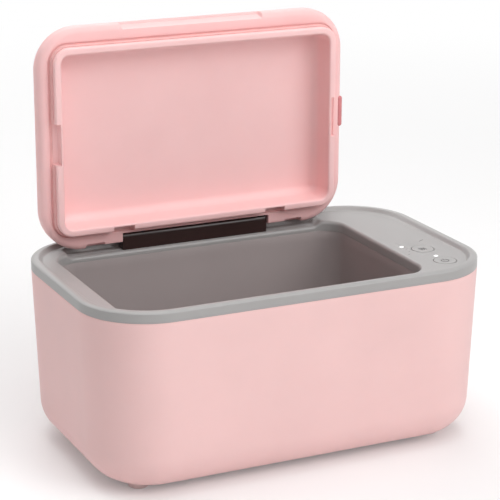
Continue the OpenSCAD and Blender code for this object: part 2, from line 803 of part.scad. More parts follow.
// Lid shell: rounded outer edge, hollow, with an in-turned rim, a scoop and hinge bosses
function lid_section(in, z) = [lid_w - 2 * in, lid_d - 2 * in, lid_corner_r - in, z];

function lid_sections(off, low) =
    let (r = lid_edge_r - off, zc = lid_top - lid_edge_r)
    concat(
        [lid_section(off, low)],
        [for (i = [0:edge_steps + 2])
            let (a = 90 * i / (edge_steps + 2))
            lid_section(off + r * (1 - cos(a)), zc + r * sin(a))]
    );

module lid_body() {
    rim = [
        for (i = [0:4])
            let (a = 90 * i / 5) lid_section(lid_rim_r * (1 - sin(a)), rim_z + lid_rim_r * (1 - cos(a)))
    ];
    translate([open_x, lid_y, 0]) loft(concat(rim, lid_sections(0, rim_z + lid_rim_r)));
}

module scoop_cut() {
    translate([scoop_x - scoop_w / 2, 0, 0]) rotate([90, 0, 90]) linear_extrude(scoop_w) polygon([
        [lid_front - cut, rim_z - cut], [lid_front + scoop_depth, rim_z - cut],
        [lid_front + scoop_depth, rim_z], [lid_front + scoop_top_depth, rim_z + scoop_h],
        [lid_front - cut, rim_z + scoop_h]
    ]);
}

// Block behind the scoop that keeps the lid closed there
module scoop_back() {
    half = scoop_w / 2 + scoop_wall;
    translate([scoop_x - half, 0, 0]) rotate([90, 0, 90]) linear_extrude(2 * half) polygon([
        [lid_front + 0.6, rim_z], [lid_front + scoop_depth + scoop_wall, rim_z],
        [lid_front + scoop_top_depth + scoop_wall, rim_z + scoop_h + scoop_wall],
        [lid_front + scoop_top_depth - 1, rim_z + scoop_h + scoop_wall]
    ]);
}

// Clearance along the lid's back edge, less deep at the hinge bosses
module rebate(grow, low) {
    half = rebate_half + grow;
    height = rebate_h + grow;
    translate([open_x, lid_back, low]) linear_extrude(rim_z + height - low) polygon([
        [-half - rebate_slope, cut], [-half, -rebate_depth - grow], [-boss_end, -rebate_depth - grow],
        [-boss_end, -boss_rebate - grow], [boss_end, -boss_rebate - grow],
        [boss_end, -rebate_depth - grow], [half, -rebate_depth - grow], [half + rebate_slope, cut]
    ]);
}

module lid_shell() {
    color(pink) open_lid() difference() {
        intersection() {
            lid_body();
            union() {
                difference() {
                    translate([open_x, lid_y, rim_z - cut])
                        plate(lid_w + 2, lid_d + 2, lid_corner_r, lid_h + 2 * cut);
                    translate([open_x, lid_y, 0]) loft(lid_sections(lid_wall, rim_z + flange_t));
                    translate([open_x, lip_y, rim_z - 2 * cut])
                        plate(lip_w + 2 * groove_w, lip_d + 2 * groove_w, lip_r + groove_w,
                              flange_t + 3 * cut);
                }
                scoop_back();
                rebate(rebate_wall, rim_z);
                translate([open_x - notch_half - 1.5, notch_front - notch_wall, rim_z])
                    cube([2 * notch_half + 3, lid_back - notch_front + 2, notch_top + 1.5 - rim_z]);
                for (s = [-1, 1])
                    translate([open_x + s * (notch_half + pin_reach / 2 + 0.5) - pin_reach / 2 - 1, 0, 0]) {
                        translate([0, hinge_y, hinge_z]) rotate([0, 90, 0])
                            cylinder(pin_reach + 2, r = boss_r);
                        translate([0, hinge_y - boss_r, hinge_z])
                            cube([pin_reach + 2, 2 * boss_r, lid_top - hinge_z - lid_wall + join]);
                    }
            }
        }
        scoop_cut();
        pad_shape();
        translate([open_x - notch_half, notch_front, rim_z - cut])
            cube([2 * notch_half, 20, notch_top - rim_z + cut]);
        rebate(0, rim_z - cut);
        translate([open_x - bracket_w / 2 - pin_reach - 0.2, hinge_y, hinge_z]) rotate([0, 90, 0])
            cylinder(bracket_w + 2 * pin_reach + 0.4, r = pin_r + pin_play);
    }
}

// Lid liner: the lip that plugs the opening, and the recess with its rounded floor
function lip_section(in, z) = [lip_w - 2 * in, lip_d - 2 * in, lip_r - in, z];

recess_sections = concat(
    [[lip_w - 2 * lip_wall + 2.4, lip_d - 2 * lip_wall + 2.4, lip_r - lip_wall + 1.2, lip_face - 0.02]],
    [for (i = [0:2])
        let (a = 45 * i, e = 1.2 * (1 - sin(a)))
        [lip_w - 2 * lip_wall + 2 * e, lip_d - 2 * lip_wall + 2 * e, lip_r - lip_wall + e,
         lip_face + 1.2 * (1 - cos(a))]],
    [for (i = [0:4])
        let (a = 90 * i / 4, s = lip_wall + 0.4 + recess_r * (1 - cos(a)))
        [lip_w - 2 * s, lip_d - 2 * s, max(lip_r - s, 0.4), recess_z - recess_r * (1 - sin(a))]]
);

module lid_liner() {
    color(pink) open_lid() difference() {
        union() {
            translate([open_x, lip_y, 0])
                loft([lip_section(1.2, lip_face), lip_section(0.35, lip_face + 0.35),
                      lip_section(0, lip_face + 1.2), lip_section(0, recess_z - 4),
                      lip_section(1.3, recess_z - 1), lip_section(2.8, recess_z + liner_floor_t)]);
            translate([open_x, lip_y, rim_z + flange_t]) difference() {
                plate(lip_w + 2 * (groove_w + liner_flange_w), lip_d + 2 * (groove_w + liner_flange_w),
                      lip_r + groove_w + liner_flange_w + 4, 1.6);
                translate([-lip_w, lip_d / 2 + groove_w - 0.2, -cut]) cube([2 * lip_w, 20, 1.6 + 2 * cut]);
            }
        }
        translate([open_x, lip_y, 0]) loft(recess_sections);
        lip_notches();
    }
}

// Notches in the lip: one in each side, and two in its back
module lip_notches() {
    for (s = [-1, 1]) {
        translate([open_x + s * back_notch_x - back_notch_w / 2, lip_back - lip_wall + notch_web, 0])
            translate([0, 0, lip_face - cut]) cube([back_notch_w, 2 * lip_wall, lip_proud + cut]);
        translate([open_x + s * (lip_w / 2 + notch_web) - lip_wall, lid_y - side_notch_w / 2, 0])
            translate([0, 0, lip_face - cut]) cube([2 * lip_wall, side_notch_w, lip_proud + cut]);
    }
}

module lid_seal() {
    color([0.85, 0.58, 0.57]) open_lid() difference() {
        translate([open_x, lip_y, rim_z - seal_proud])
            ring(lip_w + 2 * seal_w, lip_d + 2 * seal_w, lip_r + seal_w, seal_w, seal_proud + flange_t);
        lip_notches();
    }
}

// Soft pad let into the lid's right edge
module pad_shape() {
    translate([open_x + lid_w / 2 + pad_proud - pad_w / 2, open_y, rim_z + pad_in])
        linear_extrude(pad_h) {
            square([pad_w, pad_l - pad_w], center = true);
            for (s = [-1, 1]) translate([0, s * (pad_l - pad_w) / 2]) circle(pad_w / 2);
        }
}

module lid_pad() {
    color([0.80, 0.47, 0.48]) open_lid() pad_shape();
}

outer_shell();
base_cover();
base_screws();
foot(-1, -1);  // foot_front_left
foot(1, -1);  // foot_front_right
foot(-1, 1);  // foot_back_left
foot(1, 1);  // foot_back_right
top_frame();
inner_tub();
tub_screws();
insulation_jacket();
insulation_pad();
heat_plate();
heating_film();
thermostat();
thermal_fuse();
heater_leads();
control_board();
key_switches();
board_screws();
light_pipe(heat_light);  // heat_light_pipe
light_pipe(power_light);  // power_light_pipe
key(heat_key_y);  // heat_button
key(power_key_y);  // power_button
power_inlet();
inlet_leads();
hinge_bracket();
hinge_pin();
hinge_screws();
lid_shell();
lid_liner();
lid_seal();
lid_pad();
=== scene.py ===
"""Baby wipe warmer with its lid open: fine meshes and finishes built round the packed part.

Sizes are kept in metres in the settings. The operators take them in millimetres, and the mesh
functions turn them back into metres when a mesh is made. The lid's pieces are drawn in their
closed place and turned about the hinge to where the photograph has them.
"""

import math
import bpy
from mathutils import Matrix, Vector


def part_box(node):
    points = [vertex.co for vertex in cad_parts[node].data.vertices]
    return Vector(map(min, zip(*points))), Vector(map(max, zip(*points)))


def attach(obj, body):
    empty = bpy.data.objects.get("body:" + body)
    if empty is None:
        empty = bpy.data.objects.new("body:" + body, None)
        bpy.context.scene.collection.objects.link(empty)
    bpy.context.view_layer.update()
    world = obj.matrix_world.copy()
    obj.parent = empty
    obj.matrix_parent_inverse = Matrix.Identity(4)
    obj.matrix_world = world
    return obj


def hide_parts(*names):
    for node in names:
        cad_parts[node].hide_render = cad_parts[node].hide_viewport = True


bl_info = {
    "name": "Baby Wipe Warmer",
    "version": (1, 0, 0),
    "blender": (4, 5, 0),
    "location": "3D View > Sidebar > Wipe Warmer",
    "description": "Builds a table-top wipe warmer with an open lid around its packed frame",
    "category": "Add Mesh",
}

from types import SimpleNamespace

import bmesh
import bpy
from bpy.props import FloatProperty, FloatVectorProperty, PointerProperty
from bpy.types import Operator, Panel, PropertyGroup
from mathutils import Matrix, Vector

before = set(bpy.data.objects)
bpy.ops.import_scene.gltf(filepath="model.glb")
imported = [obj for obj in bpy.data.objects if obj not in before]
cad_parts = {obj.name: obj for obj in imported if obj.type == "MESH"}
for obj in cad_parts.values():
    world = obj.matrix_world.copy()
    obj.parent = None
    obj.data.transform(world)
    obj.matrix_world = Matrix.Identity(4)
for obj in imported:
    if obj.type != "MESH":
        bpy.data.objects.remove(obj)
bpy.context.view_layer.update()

MM = 0.001
QUARTER = math.pi / 2
SHARP = math.radians(32)
WELD = 1e-6

# In millimetres: from the rim down to the shell's upper end, and from the deck down to the lower
# end of the opening's collar, where the tub begins
SHELL_DROP = 6.0
COLLAR_DROP = 5.9

# The camera fitted to the photograph: pixels, degrees and metres
PHOTO_PIXELS = 500
FOCAL_PIXELS = 1878.44
SENSOR = 36.0
CAMERA_AT = (-0.42280, -0.88378, 0.40366)
CAMERA_AZIMUTH, CAMERA_ELEVATION, CAMERA_ROLL = 25.41, 16.909, 0.143


def size(name, description, default):
    """A length setting; the default is in millimetres."""
    return FloatProperty(
        name=name, description=description, default=default * MM, min=0.0, precision=5, unit="LENGTH"
    )


def place(name, description, default):
    """A place along an axis; the default is in millimetres."""
    return FloatProperty(
        name=name, description=description, default=default * MM, precision=5, unit="LENGTH"
    )


def colour(name, description, default):
    """A colour setting, in linear values."""
    return FloatVectorProperty(
        name=name, description=description, default=default, size=3, min=0.0, max=1.0, subtype="COLOR"
    )


def srgb(r, g, b):
    """Linear values of a colour given as 0 to 255 screen values."""
    return tuple(
        v / 12.92 if v <= 0.04045 else ((v + 0.055) / 1.055) ** 2.4 for v in (r / 255, g / 255, b / 255)
    )


class WarmerBody(PropertyGroup):
    """Sizes of the body and its feet"""

    width: size("Length", "Length of the body from left to right", 230)
    depth: size("Depth", "Depth of the body from front to back", 141.4)
    height: size("Height", "Height from the floor to the frame's rim", 103.8)
    corner: size("Corner radius", "Radius of the upright corners", 38)
    lean: size("Lean", "How far each side leans in down to the floor", 3.6)
    bottom_edge: size("Bottom edge", "Radius of the rounded bottom edge", 19.2)
    wall: size("Wall", "Wall of the outer shell", 2.6)
    foot_height: size("Foot height", "Height of a foot below the shell", 3)
    foot_width: size("Foot diameter", "Diameter of a foot at its top", 11)
    foot_seat: size("Foot seat", "How far a foot is let into the shell", 0.6)


class WarmerFrame(PropertyGroup):
    """Sizes of the top frame, its opening and its trough"""

    band: size("Band height", "Height of the frame's band outside", 6)
    rim_drop: size("Rim edge height", "Height of the rim's rounded outer edge", 1.5)
    rim_side: size("Rim edge at the sides", "Width of the rim's rounded outer edge at the sides", 3.7)
    rim_front: size("Rim edge in front", "Width of the rim's rounded outer edge in front and behind",
                    3.2)
    crest_side: size("Crest at the sides",
                     "From the outside to where the rim falls to the deck, at the sides", 3.8)
    crest_front: size("Crest in front", "From the outside to where the rim falls to the deck, in front",
                      3.4)
    slope_side: size("Slope at the sides", "Width of the rim's inner slope at the sides", 3.2)
    slope_front: size("Slope in front", "Width of the rim's inner slope in front and behind", 1.7)
    dish: size("Dish depth", "How far the deck lies below the rim", 2.5)
    plate: size("Deck thickness", "Thickness of the deck", 2.4)
    opening_width: size("Opening length", "Length of the tub opening", 174.4)
    opening_depth: size("Opening width", "Width of the tub opening", 110)
    opening_x: place("Opening place, X", "Middle of the opening from left to right", -12)
    opening_y: place("Opening place, Y", "Middle of the opening from front to back", -4.5)
    opening_corner: size("Opening corner", "Radius of the opening's corners", 14)
    opening_edge: size("Opening edge", "Radius of the opening's upper edge", 2)
    skirt: size("Skirt", "Depth of the skirt below the deck", 9)
    trough: size("Trough depth", "Depth of the hinge trough below the deck", 2.8)
    trough_half: size("Trough half length", "Half of the trough's length", 78)
    trough_back: place("Trough back", "Back edge of the trough", 60.5)


class WarmerTub(PropertyGroup):
    """Sizes of the tub"""

    wall: size("Wall", "Wall of the tub", 2)
    lean: size("Lean", "How far each side leans in down to the floor", 2.5)
    floor: size("Floor height", "Height of the tub's inner floor above the table", 17)
    floor_edge: size("Floor edge", "Radius between the tub's floor and sides", 8)
    flange: size("Flange", "Width of the tub's flange at the sides and behind", 8.6)
    flange_front: size("Front flange", "Width of the tub's flange in front", 4)
    flange_corner: size("Flange corner", "Radius of the flange's corners", 23)


class WarmerLid(PropertyGroup):
    """Sizes of the lid in its closed place"""

    width: size("Length", "Length of the lid from left to right", 183)
    depth: size("Depth", "Depth of the lid from front to back", 124.1)
    y: place("Place, Y", "Middle of the closed lid from front to back", -2.95)
    rim: place("Rim height", "Height of the closed lid's rim above the floor", 101.6)
    height: size("Height", "Thickness of the lid", 16.4)
    corner: size("Corner radius", "Radius of the lid's corners", 23.5)
    edge: size("Edge radius", "Radius of the lid's outer edge", 10)
    rim_edge: size("Rim edge radius", "Radius of the outer edge of the lid's rim", 3.6)
    wall: size("Wall", "Wall of the lid's outer shell", 2.4)
    scoop_x: place("Scoop place, X", "Middle of the finger scoop from left to right", -13.4)
    scoop_width: size("Scoop length", "Length of the finger scoop", 84)
    scoop_depth: size("Scoop depth", "Depth of the scoop at the rim", 3)
    scoop_end: size("Scoop end depth", "Depth of the scoop at its upper end", 1.4)
    scoop_height: size("Scoop height", "Height of the scoop", 6.5)
    rebate_half: size("Rebate half length", "Half of the length of the clearance along the back edge",
                      66)
    rebate_depth: size("Rebate depth", "Depth of that clearance", 3.2)
    rebate_height: size("Rebate height", "Height of that clearance", 7)
    boss_half: size("Boss end", "From the lid's middle to a hinge boss's outer end", 55.5)
    boss_rebate: size("Rebate at a boss", "Depth of that clearance at the hinge bosses", 1.9)


class WarmerLiner(PropertyGroup):
    """Sizes of the lid's liner, its lip, its seal and the pad in the lid's edge"""

    width: size("Lip length", "Length of the lip from left to right", 168.8)
    depth: size("Lip width", "Width of the lip from front to back", 104.4)
    y: place("Lip place, Y", "Middle of the lip from front to back, lid closed", -3.1)
    corner: size("Lip corner", "Radius of the lip's corners", 9)
    wall: size("Lip wall", "Thickness of the lip", 4)
    proud: size("Lip height", "How far the lip stands out of the rim", 6)
    recess: size("Recess depth", "Depth of the recess behind the rim", 10)
    recess_edge: size("Recess edge", "Radius between the recess's floor and sides", 5)
    groove: size("Groove", "Width of the groove round the lip", 1.6)
    seal: size("Seal", "Wall of the seal", 0.6)
    seal_proud: size("Seal height", "How far the seal stands out of the rim", 3)
    side_notch: size("Side notch", "Length of the notch in each side of the lip", 22.8)
    back_notch: size("Back notch", "Length of each notch in the back of the lip", 12.4)
    back_notch_x: size("Back notch place", "From the lid's middle to a back notch", 46.2)
    notch_web: size("Notch wall", "Wall that a notch leaves", 1.2)
    pad_length: size("Pad length", "Length of the soft pad", 17.8)
    pad_width: size("Pad width", "Thickness of the soft pad", 3.0)
    pad_proud: size("Pad height", "How far the pad stands out of the lid's side", 0.6)


class WarmerKeys(PropertyGroup):
    """Sizes of the keys and the lights"""

    x: place("Key place, X", "Middle of the keys from left to right", 92)
    heat_y: place("Heat key place, Y", "Middle of the heat key", -23.5)
    power_y: place("Power key place, Y", "Middle of the power key", -47.5)
    diameter: size("Key diameter", "Diameter of a key", 12.4)
    gap: size("Key gap", "Gap round a key", 0.3)
    light: size("Light diameter", "Diameter of a light", 2.6)


class WarmerHinge(PropertyGroup):
    """Sizes of the hinge"""

    y: place("Axis place, Y", "Hinge axis from front to back", 55.15)
    z: place("Axis height", "Height of the hinge axis above the floor", 105.75)
    bracket: size("Bracket length", "Length of the hinge bracket", 89)
    half: size("Bracket half thickness", "Half of the bracket's thickness", 2.8)
    pin: size("Pin radius", "Radius of the hinge pin", 1.5)


class WarmerColours(PropertyGroup):
    """Colours of the moulded pieces"""

    pink: colour("Body plastic", "Outer shell and base cover", srgb(237, 198, 196))
    # Painted light: the lid's pink is lighter than the body's, with a deeper tint of its own. The
    # liner's pink is lighter still. They are lit copies of the one pink that make up for the shade on
    # the open lid and in its recess.
    lid: colour("Lid plastic and painted light", "Outer shell of the lid", srgb(249, 201, 200))
    liner: colour("Liner plastic and painted light", "Liner of the lid", srgb(254, 207, 206))
    grey: colour("Grey plastic", "Top frame and keys", srgb(162, 160, 159))
    # Painted light: the tub's grey is lightened as painted bounce light and tinted pink as a painted
    # reflection of the lid.
    tub: colour("Tub plastic and painted light", "Tub", srgb(164, 154, 153))
    dark: colour("Hinge plastic", "Hinge bracket", srgb(52, 36, 34))
    seal: colour("Seal rubber", "Seal round the lip", srgb(240, 186, 184))
    pad: colour("Pad rubber", "Soft pad in the lid's edge", srgb(212, 134, 136))
    mark: colour("Key mark", "Printed marks", srgb(88, 86, 86))
    floor: colour("Floor", "Studio floor", srgb(247, 246, 246))


def lengths(context, *names):
    """Groups of settings by name, their lengths in millimetres."""
    groups = [getattr(context.scene, "warmer_" + name) for name in names]
    return [
        SimpleNamespace(**{key: getattr(group, key) / MM for key in type(group).__annotations__})
        for group in groups
    ]


# ---- Outlines and skins


def outline(w, d, r, z, cx=0.0, cy=0.0, steps=24, across=(), along=()):
    """Points of a rounded rectangle, anticlockwise seen from above.

    across and along give the places of extra points on the sides that run in X and in Y.
    """
    r = max(r, 0.05)
    half_w, half_d = w / 2 - r, d / 2 - r
    corners = []
    for quarter, (sx, sy) in enumerate(((1, 1), (-1, 1), (-1, -1), (1, -1))):
        corners.append(
            [
                (
                    cx + sx * half_w + r * math.cos(QUARTER * (quarter + i / steps)),
                    cy + sy * half_d + r * math.sin(QUARTER * (quarter + i / steps)),
                )
                for i in range(steps + 1)
            ]
        )
    xs = [min(max(x, cx - half_w), cx + half_w) for x in across]
    ys = [min(max(y, cy - half_d), cy + half_d) for y in along]
    back = [(x, cy + d / 2) for x in sorted(xs, reverse=True)]
    left = [(cx - w / 2, y) for y in sorted(ys, reverse=True)]
    front = [(x, cy - d / 2) for x in sorted(xs)]
    right = [(cx + w / 2, y) for y in sorted(ys)]
    points = corners[0] + back + corners[1] + left + corners[2] + front + corners[3] + right
    return [(x, y, z) for x, y in points]


def skin(name, rings, ring_closed=False):
    """A mesh object through rings of equally many points, given in millimetres.

    It closes on itself where ring_closed is set, and is capped at both ends otherwise.
    """
    n = len(rings[0])
    count = len(rings)
    points = [tuple(c * MM for c in p) for ring in rings for p in ring]
    faces = []
    for k in range(count if ring_closed else count - 1):
        a, b = k * n, (k + 1) % count * n
        faces += [(a + i, a + (i + 1) % n, b + (i + 1) % n, b + i) for i in range(n)]
    if not ring_closed:
        faces.append(tuple(range(n - 1, -1, -1)))
        faces.append(tuple(range((count - 1) * n, count * n)))
    mesh = bpy.data.meshes.new(name)
    mesh.from_pydata(points, [], faces)
    mesh.validate()
    return tidy(add_object(name, mesh))


def add_object(name, mesh):
    """Links a new object for a mesh."""
    item = bpy.data.objects.new(name, mesh)
    bpy.context.scene.collection.objects.link(item)
    return item


def tidy(item):
    """Welds doubles, turns the faces outwards and shades all smooth up to sharp edges."""
    work = bmesh.new()
    work.from_mesh(item.data)
    bmesh.ops.remove_doubles(work, verts=work.verts, dist=WELD)
    bmesh.ops.dissolve_degenerate(work, edges=work.edges, dist=WELD)
    bmesh.ops.recalc_face_normals(work, faces=work.faces)
    for face in work.faces:
        face.smooth = True
    work.to_mesh(item.data)
    work.free()
    item.data.set_sharp_from_angle(angle=SHARP)
    item.data.update()
    return item


def apply_modifiers(item):
    """Replaces an object's mesh by the one its modifiers give."""
    seen = item.evaluated_get(bpy.context.evaluated_depsgraph_get())
    mesh = bpy.data.meshes.new_from_object(seen)
    old = item.data
    item.modifiers.clear()
    item.data = mesh
    mesh.name = item.name
    bpy.data.meshes.remove(old)


def combine(item, others, operation):
    """Cuts other objects out of item, or joins them to it, and removes them."""
    for other in others:
        step = item.modifiers.new("Combine", "BOOLEAN")
        step.operation = operation
        step.solver = "EXACT"
        step.object = other
    apply_modifiers(item)
    for other in others:
        mesh = other.data
        bpy.data.objects.remove(other)
        bpy.data.meshes.remove(mesh)
    return tidy(item)


def block(name, low, high, edge=0.0):
    """A box between two corners, with its edges rounded where a radius is given."""
    work = bmesh.new()
    bmesh.ops.create_cube(work, size=1.0)
    for v in work.verts:
        v.co = Vector(((low[k] if v.co[k] < 0 else high[k]) * MM for k in range(3)))
    if edge:
        bmesh.ops.bevel(
            work, geom=list(work.edges), offset=edge * MM, segments=3, profile=0.5, affect="EDGES"
        )
    mesh = bpy.data.meshes.new(name)
    work.to_mesh(mesh)
    work.free()
    return tidy(add_object(name, mesh))


def turned(name, profile, place_at, axis="Z", steps=64):
    """A lathe piece: profile is a list of (radius, height), place_at its origin, in millimetres."""
    rings = []
    for radius, height in profile:
        ring = []
        for i in range(steps):
            a = 2 * math.pi * i / steps
            p = (radius * math.cos(a), radius * math.sin(a), height)
            if axis == "Y":
                p = (p[0], p[2], -p[1])
            elif axis == "X":
                p = (p[2], p[0], p[1])
            ring.append(tuple(p[k] + place_at[k] for k in range(3)))
        rings.append(ring)
    return skin(name, rings)


def ends(half, *more):
    """Places of extra points on a straight side that keep its shading flat, with some of its own."""
    return [-half + 1.5, -half + 6, -half / 2, 0.0, half / 2, half - 6, half - 1.5, *more]


def quarter_turn(count):
    """Angles from 0 to 90 degrees in equal steps."""
    return [QUARTER * i / count for i in range(count + 1)]


def sided(w, d, r, z, half_w, half_d, cx=0.0, cy=0.0, steps=24):
    """An outline with the extra points of ends() on its straight sides."""
    across, along = [cx + v for v in ends(half_w)], [cy + v for v in ends(half_d)]
    return outline(w, d, r, z, cx, cy, steps, across, along)


def smooth_step(value, start, end):
    """0 before start, 1 after end, and a smooth rise between them."""
    t = min(max((value - start) / (end - start), 0.0), 1.0)
    return t * t * (3 - 2 * t)


def open_lid(item, hinge):
    """Turns a piece from the closed lid's place to the open lid's."""
    at = Vector((0.0, hinge.y, hinge.z)) * MM
    turn = Matrix.Translation(at) @ Matrix.Rotation(-QUARTER, 4, "X") @ Matrix.Translation(-at)
    item.data.transform(turn)
    item.data.update()
    return item


def settle(item, body, finish, nodes=()):
    """Gives a piece its finish, its slot, the body that it rides on and the nodes it replaces."""
    item.data.materials.clear()
    item.data.materials.append(finish)
    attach(item, body)
    if nodes:
        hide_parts(*nodes)
    return item


# ---- Finishes


def new_material(name):
    """A material, its node tree and its shader."""
    material = bpy.data.materials.new(name)
    material.use_nodes = True
    tree = material.node_tree
    shader = tree.nodes["Principled BSDF"]
    return material, tree, shader


def noise(tree, scale, detail=4.0, rough=0.55, where=None):
    """A noise texture over the object's own space."""
    node = tree.nodes.new("ShaderNodeTexNoise")
    node.inputs["Scale"].default_value = scale
    node.inputs["Detail"].default_value = detail
    node.inputs["Roughness"].default_value = rough
    if where is None:
        where = tree.nodes.new("ShaderNodeTexCoord").outputs["Object"]
    tree.links.new(where, node.inputs["Vector"])
    return node.outputs["Fac"]


def spread(tree, value, low, high):
    """Maps a 0 to 1 value to low to high."""
    node = tree.nodes.new("ShaderNodeMapRange")
    node.inputs["From Min"].default_value = 0.3
    node.inputs["From Max"].default_value = 0.7
    node.inputs["To Min"].default_value = low
    node.inputs["To Max"].default_value = high
    tree.links.new(value, node.inputs["Value"])
    return node.outputs["Result"]


def tint(tree, value, dark, light):
    """A colour between two, by a value."""
    node = tree.nodes.new("ShaderNodeValToRGB")
    node.color_ramp.elements[0].position = 0.3
    node.color_ramp.elements[1].position = 0.7
    node.color_ramp.elements[0].color = (*dark, 1)
    node.color_ramp.elements[1].color = (*light, 1)
    tree.links.new(value, node.inputs["Fac"])
    return node.outputs["Color"]


def relief(tree, shader, layers):
    """Chains bumps: layers is a list of (height, strength, distance in metres)."""
    before = None
    for height, strength, distance in layers:
        bump = tree.nodes.new("ShaderNodeBump")
        bump.inputs["Strength"].default_value = strength
        bump.inputs["Distance"].default_value = distance
        tree.links.new(height, bump.inputs["Height"])
        if before is not None:
            tree.links.new(before, bump.inputs["Normal"])
        before = bump.outputs["Normal"]
    tree.links.new(before, shader.inputs["Normal"])


def paint(tree, shader, pattern, dark, light, low, high, rough_by=None):
    """Colours a shader between two colours, and its roughness between two values, by a pattern."""
    tree.links.new(tint(tree, pattern, dark, light), shader.inputs["Base Color"])
    tree.links.new(spread(tree, rough_by or pattern, low, high), shader.inputs["Roughness"])


def scaled(rgb, by):
    """A colour made lighter or darker."""
    return tuple(min(c * by, 1.0) for c in rgb)


def moulded(name, rgb, rough=0.42, grain=0.12, variation=0.025, soft=0.0, gloss=0.5):
    """Moulded plastic: a fine spark-eroded grain, faint flow mottling and uneven gloss."""
    material, tree, shader = new_material(name)
    cloud = noise(tree, 22.0, detail=3.0)
    fine = noise(tree, 2600.0, detail=2.0, rough=0.7)
    wave = noise(tree, 55.0, detail=1.0)
    dark, light = scaled(rgb, 1 - variation), scaled(rgb, 1 + variation)
    paint(tree, shader, cloud, dark, light, rough - 0.035, rough + 0.035)
    relief(tree, shader, [(wave, 0.05, 0.0004), (fine, grain, 0.00006)])
    shader.inputs["IOR"].default_value = 1.49
    shader.inputs["Specular IOR Level"].default_value = gloss
    if soft:
        shader.inputs["Subsurface Weight"].default_value = soft
        shader.inputs["Subsurface Radius"].default_value = (1.0, 0.45, 0.35)
        shader.inputs["Subsurface Scale"].default_value = 0.0012
    return material


def soft_rubber(name, rgb, rough=0.6):
    """Rubber or silicone: a dry, slightly dusty surface."""
    material, tree, shader = new_material(name)
    dust = noise(tree, 160.0, detail=5.0)
    fine = noise(tree, 1800.0, detail=2.0)
    paint(tree, shader, dust, scaled(rgb, 0.95), scaled(rgb, 1.05), rough - 0.06, rough + 0.06)
    relief(tree, shader, [(fine, 0.25, 0.0001)])
    shader.inputs["IOR"].default_value = 1.43
    return material


def bare_metal(name, rgb, rough=0.3, streak=(1.0, 1.0, 12.0)):
    """Rolled, turned or plated metal with fine streaks along one way."""
    material, tree, shader = new_material(name)
    space = tree.nodes.new("ShaderNodeTexCoord").outputs["Object"]
    stretch = tree.nodes.new("ShaderNodeMapping")
    stretch.inputs["Scale"].default_value = streak
    tree.links.new(space, stretch.inputs["Vector"])
    lines = noise(tree, 900.0, detail=3.0, where=stretch.outputs["Vector"])
    patch = noise(tree, 90.0, detail=3.0, where=space)
    paint(tree, shader, patch, scaled(rgb, 0.93), scaled(rgb, 1.05), rough - 0.07, rough + 0.07, lines)
    relief(tree, shader, [(lines, 0.12, 0.00005)])
    shader.inputs["Metallic"].default_value = 1.0
    return material


def cell_foam(name, rgb):
    """Closed-cell foam: small cells, matt."""
    material, tree, shader = new_material(name)
    cells = tree.nodes.new("ShaderNodeTexVoronoi")
    cells.inputs["Scale"].default_value = 900.0
    tree.links.new(tree.nodes.new("ShaderNodeTexCoord").outputs["Object"], cells.inputs["Vector"])
    cloud = noise(tree, 60.0)
    paint(tree, shader, cloud, scaled(rgb, 0.92), scaled(rgb, 1.03), 0.85, 0.95)
    relief(tree, shader, [(cells.outputs["Distance"], 0.6, 0.0004)])
    return material


def solder_mask(name, rgb):
    """Circuit board lacquer over a faint weave of tracks."""
    material, tree, shader = new_material(name)
    weave = tree.nodes.new("ShaderNodeTexBrick")
    weave.inputs["Scale"].default_value = 320.0
    weave.inputs["Color1"].default_value = (*scaled(rgb, 0.85), 1)
    weave.inputs["Color2"].default_value = (*scaled(rgb, 1.2), 1)
    weave.inputs["Mortar"].default_value = (*scaled(rgb, 1.6), 1)
    weave.inputs["Mortar Size"].default_value = 0.012
    tree.links.new(tree.nodes.new("ShaderNodeTexCoord").outputs["Object"], weave.inputs["Vector"])
    tree.links.new(weave.outputs["Color"], shader.inputs["Base Color"])
    tree.links.new(spread(tree, noise(tree, 120.0), 0.2, 0.34), shader.inputs["Roughness"])
    relief(tree, shader, [(weave.outputs["Fac"], 0.2, 0.00005)])
    return material


def lit_plastic(name, rgb, strength):
    """Frosted light pipe that glows a little."""
    material, tree, shader = new_material(name)
    cloud = noise(tree, 800.0)
    paint(tree, shader, cloud, scaled(rgb, 0.96), rgb, 0.25, 0.4)
    relief(tree, shader, [(cloud, 0.1, 0.00005)])
    shader.inputs["Emission Color"].default_value = (*rgb, 1)
    shader.inputs["Emission Strength"].default_value = strength
    return material


# ---- Pieces


def body_ring(body, inset_x, inset_y, z, steps=24):
    """Outline of the body, drawn in by an amount at the sides and at front and back."""
    w, d, r = body.width, body.depth, body.corner
    corner = r - (inset_x + inset_y) / 2
    return sided(w - 2 * inset_x, d - 2 * inset_y, corner, z, w / 2 - r, d / 2 - r, steps=steps)


def shell_rings(body, off, steps):
    """Rings up the outer or inner face of the shell, from its flat bottom to its top."""
    low, high = body.foot_height, body.height - SHELL_DROP
    r, z0, lean = body.bottom_edge - off, low + off, body.lean
    rings = []
    for a in quarter_turn(steps):
        z = z0 + r * (1 - math.cos(a))
        s = off + lean * (high - z) / (high - low) + r * (1 - math.sin(a))
        rings.append(body_ring(body, s, s, z))
    for z in (z0 + r + 3, z0 + r + 12, (z0 + high) / 2 + 8, high - 12, high - 2.0):
        s = off + lean * (high - z) / (high - low)
        rings.append(body_ring(body, s, s, z))
    return rings


def cover_ring(w, d, r, z):
    """Outline of the hole in the shell's bottom."""
    return sided(w, d, r, z, 60, 25)


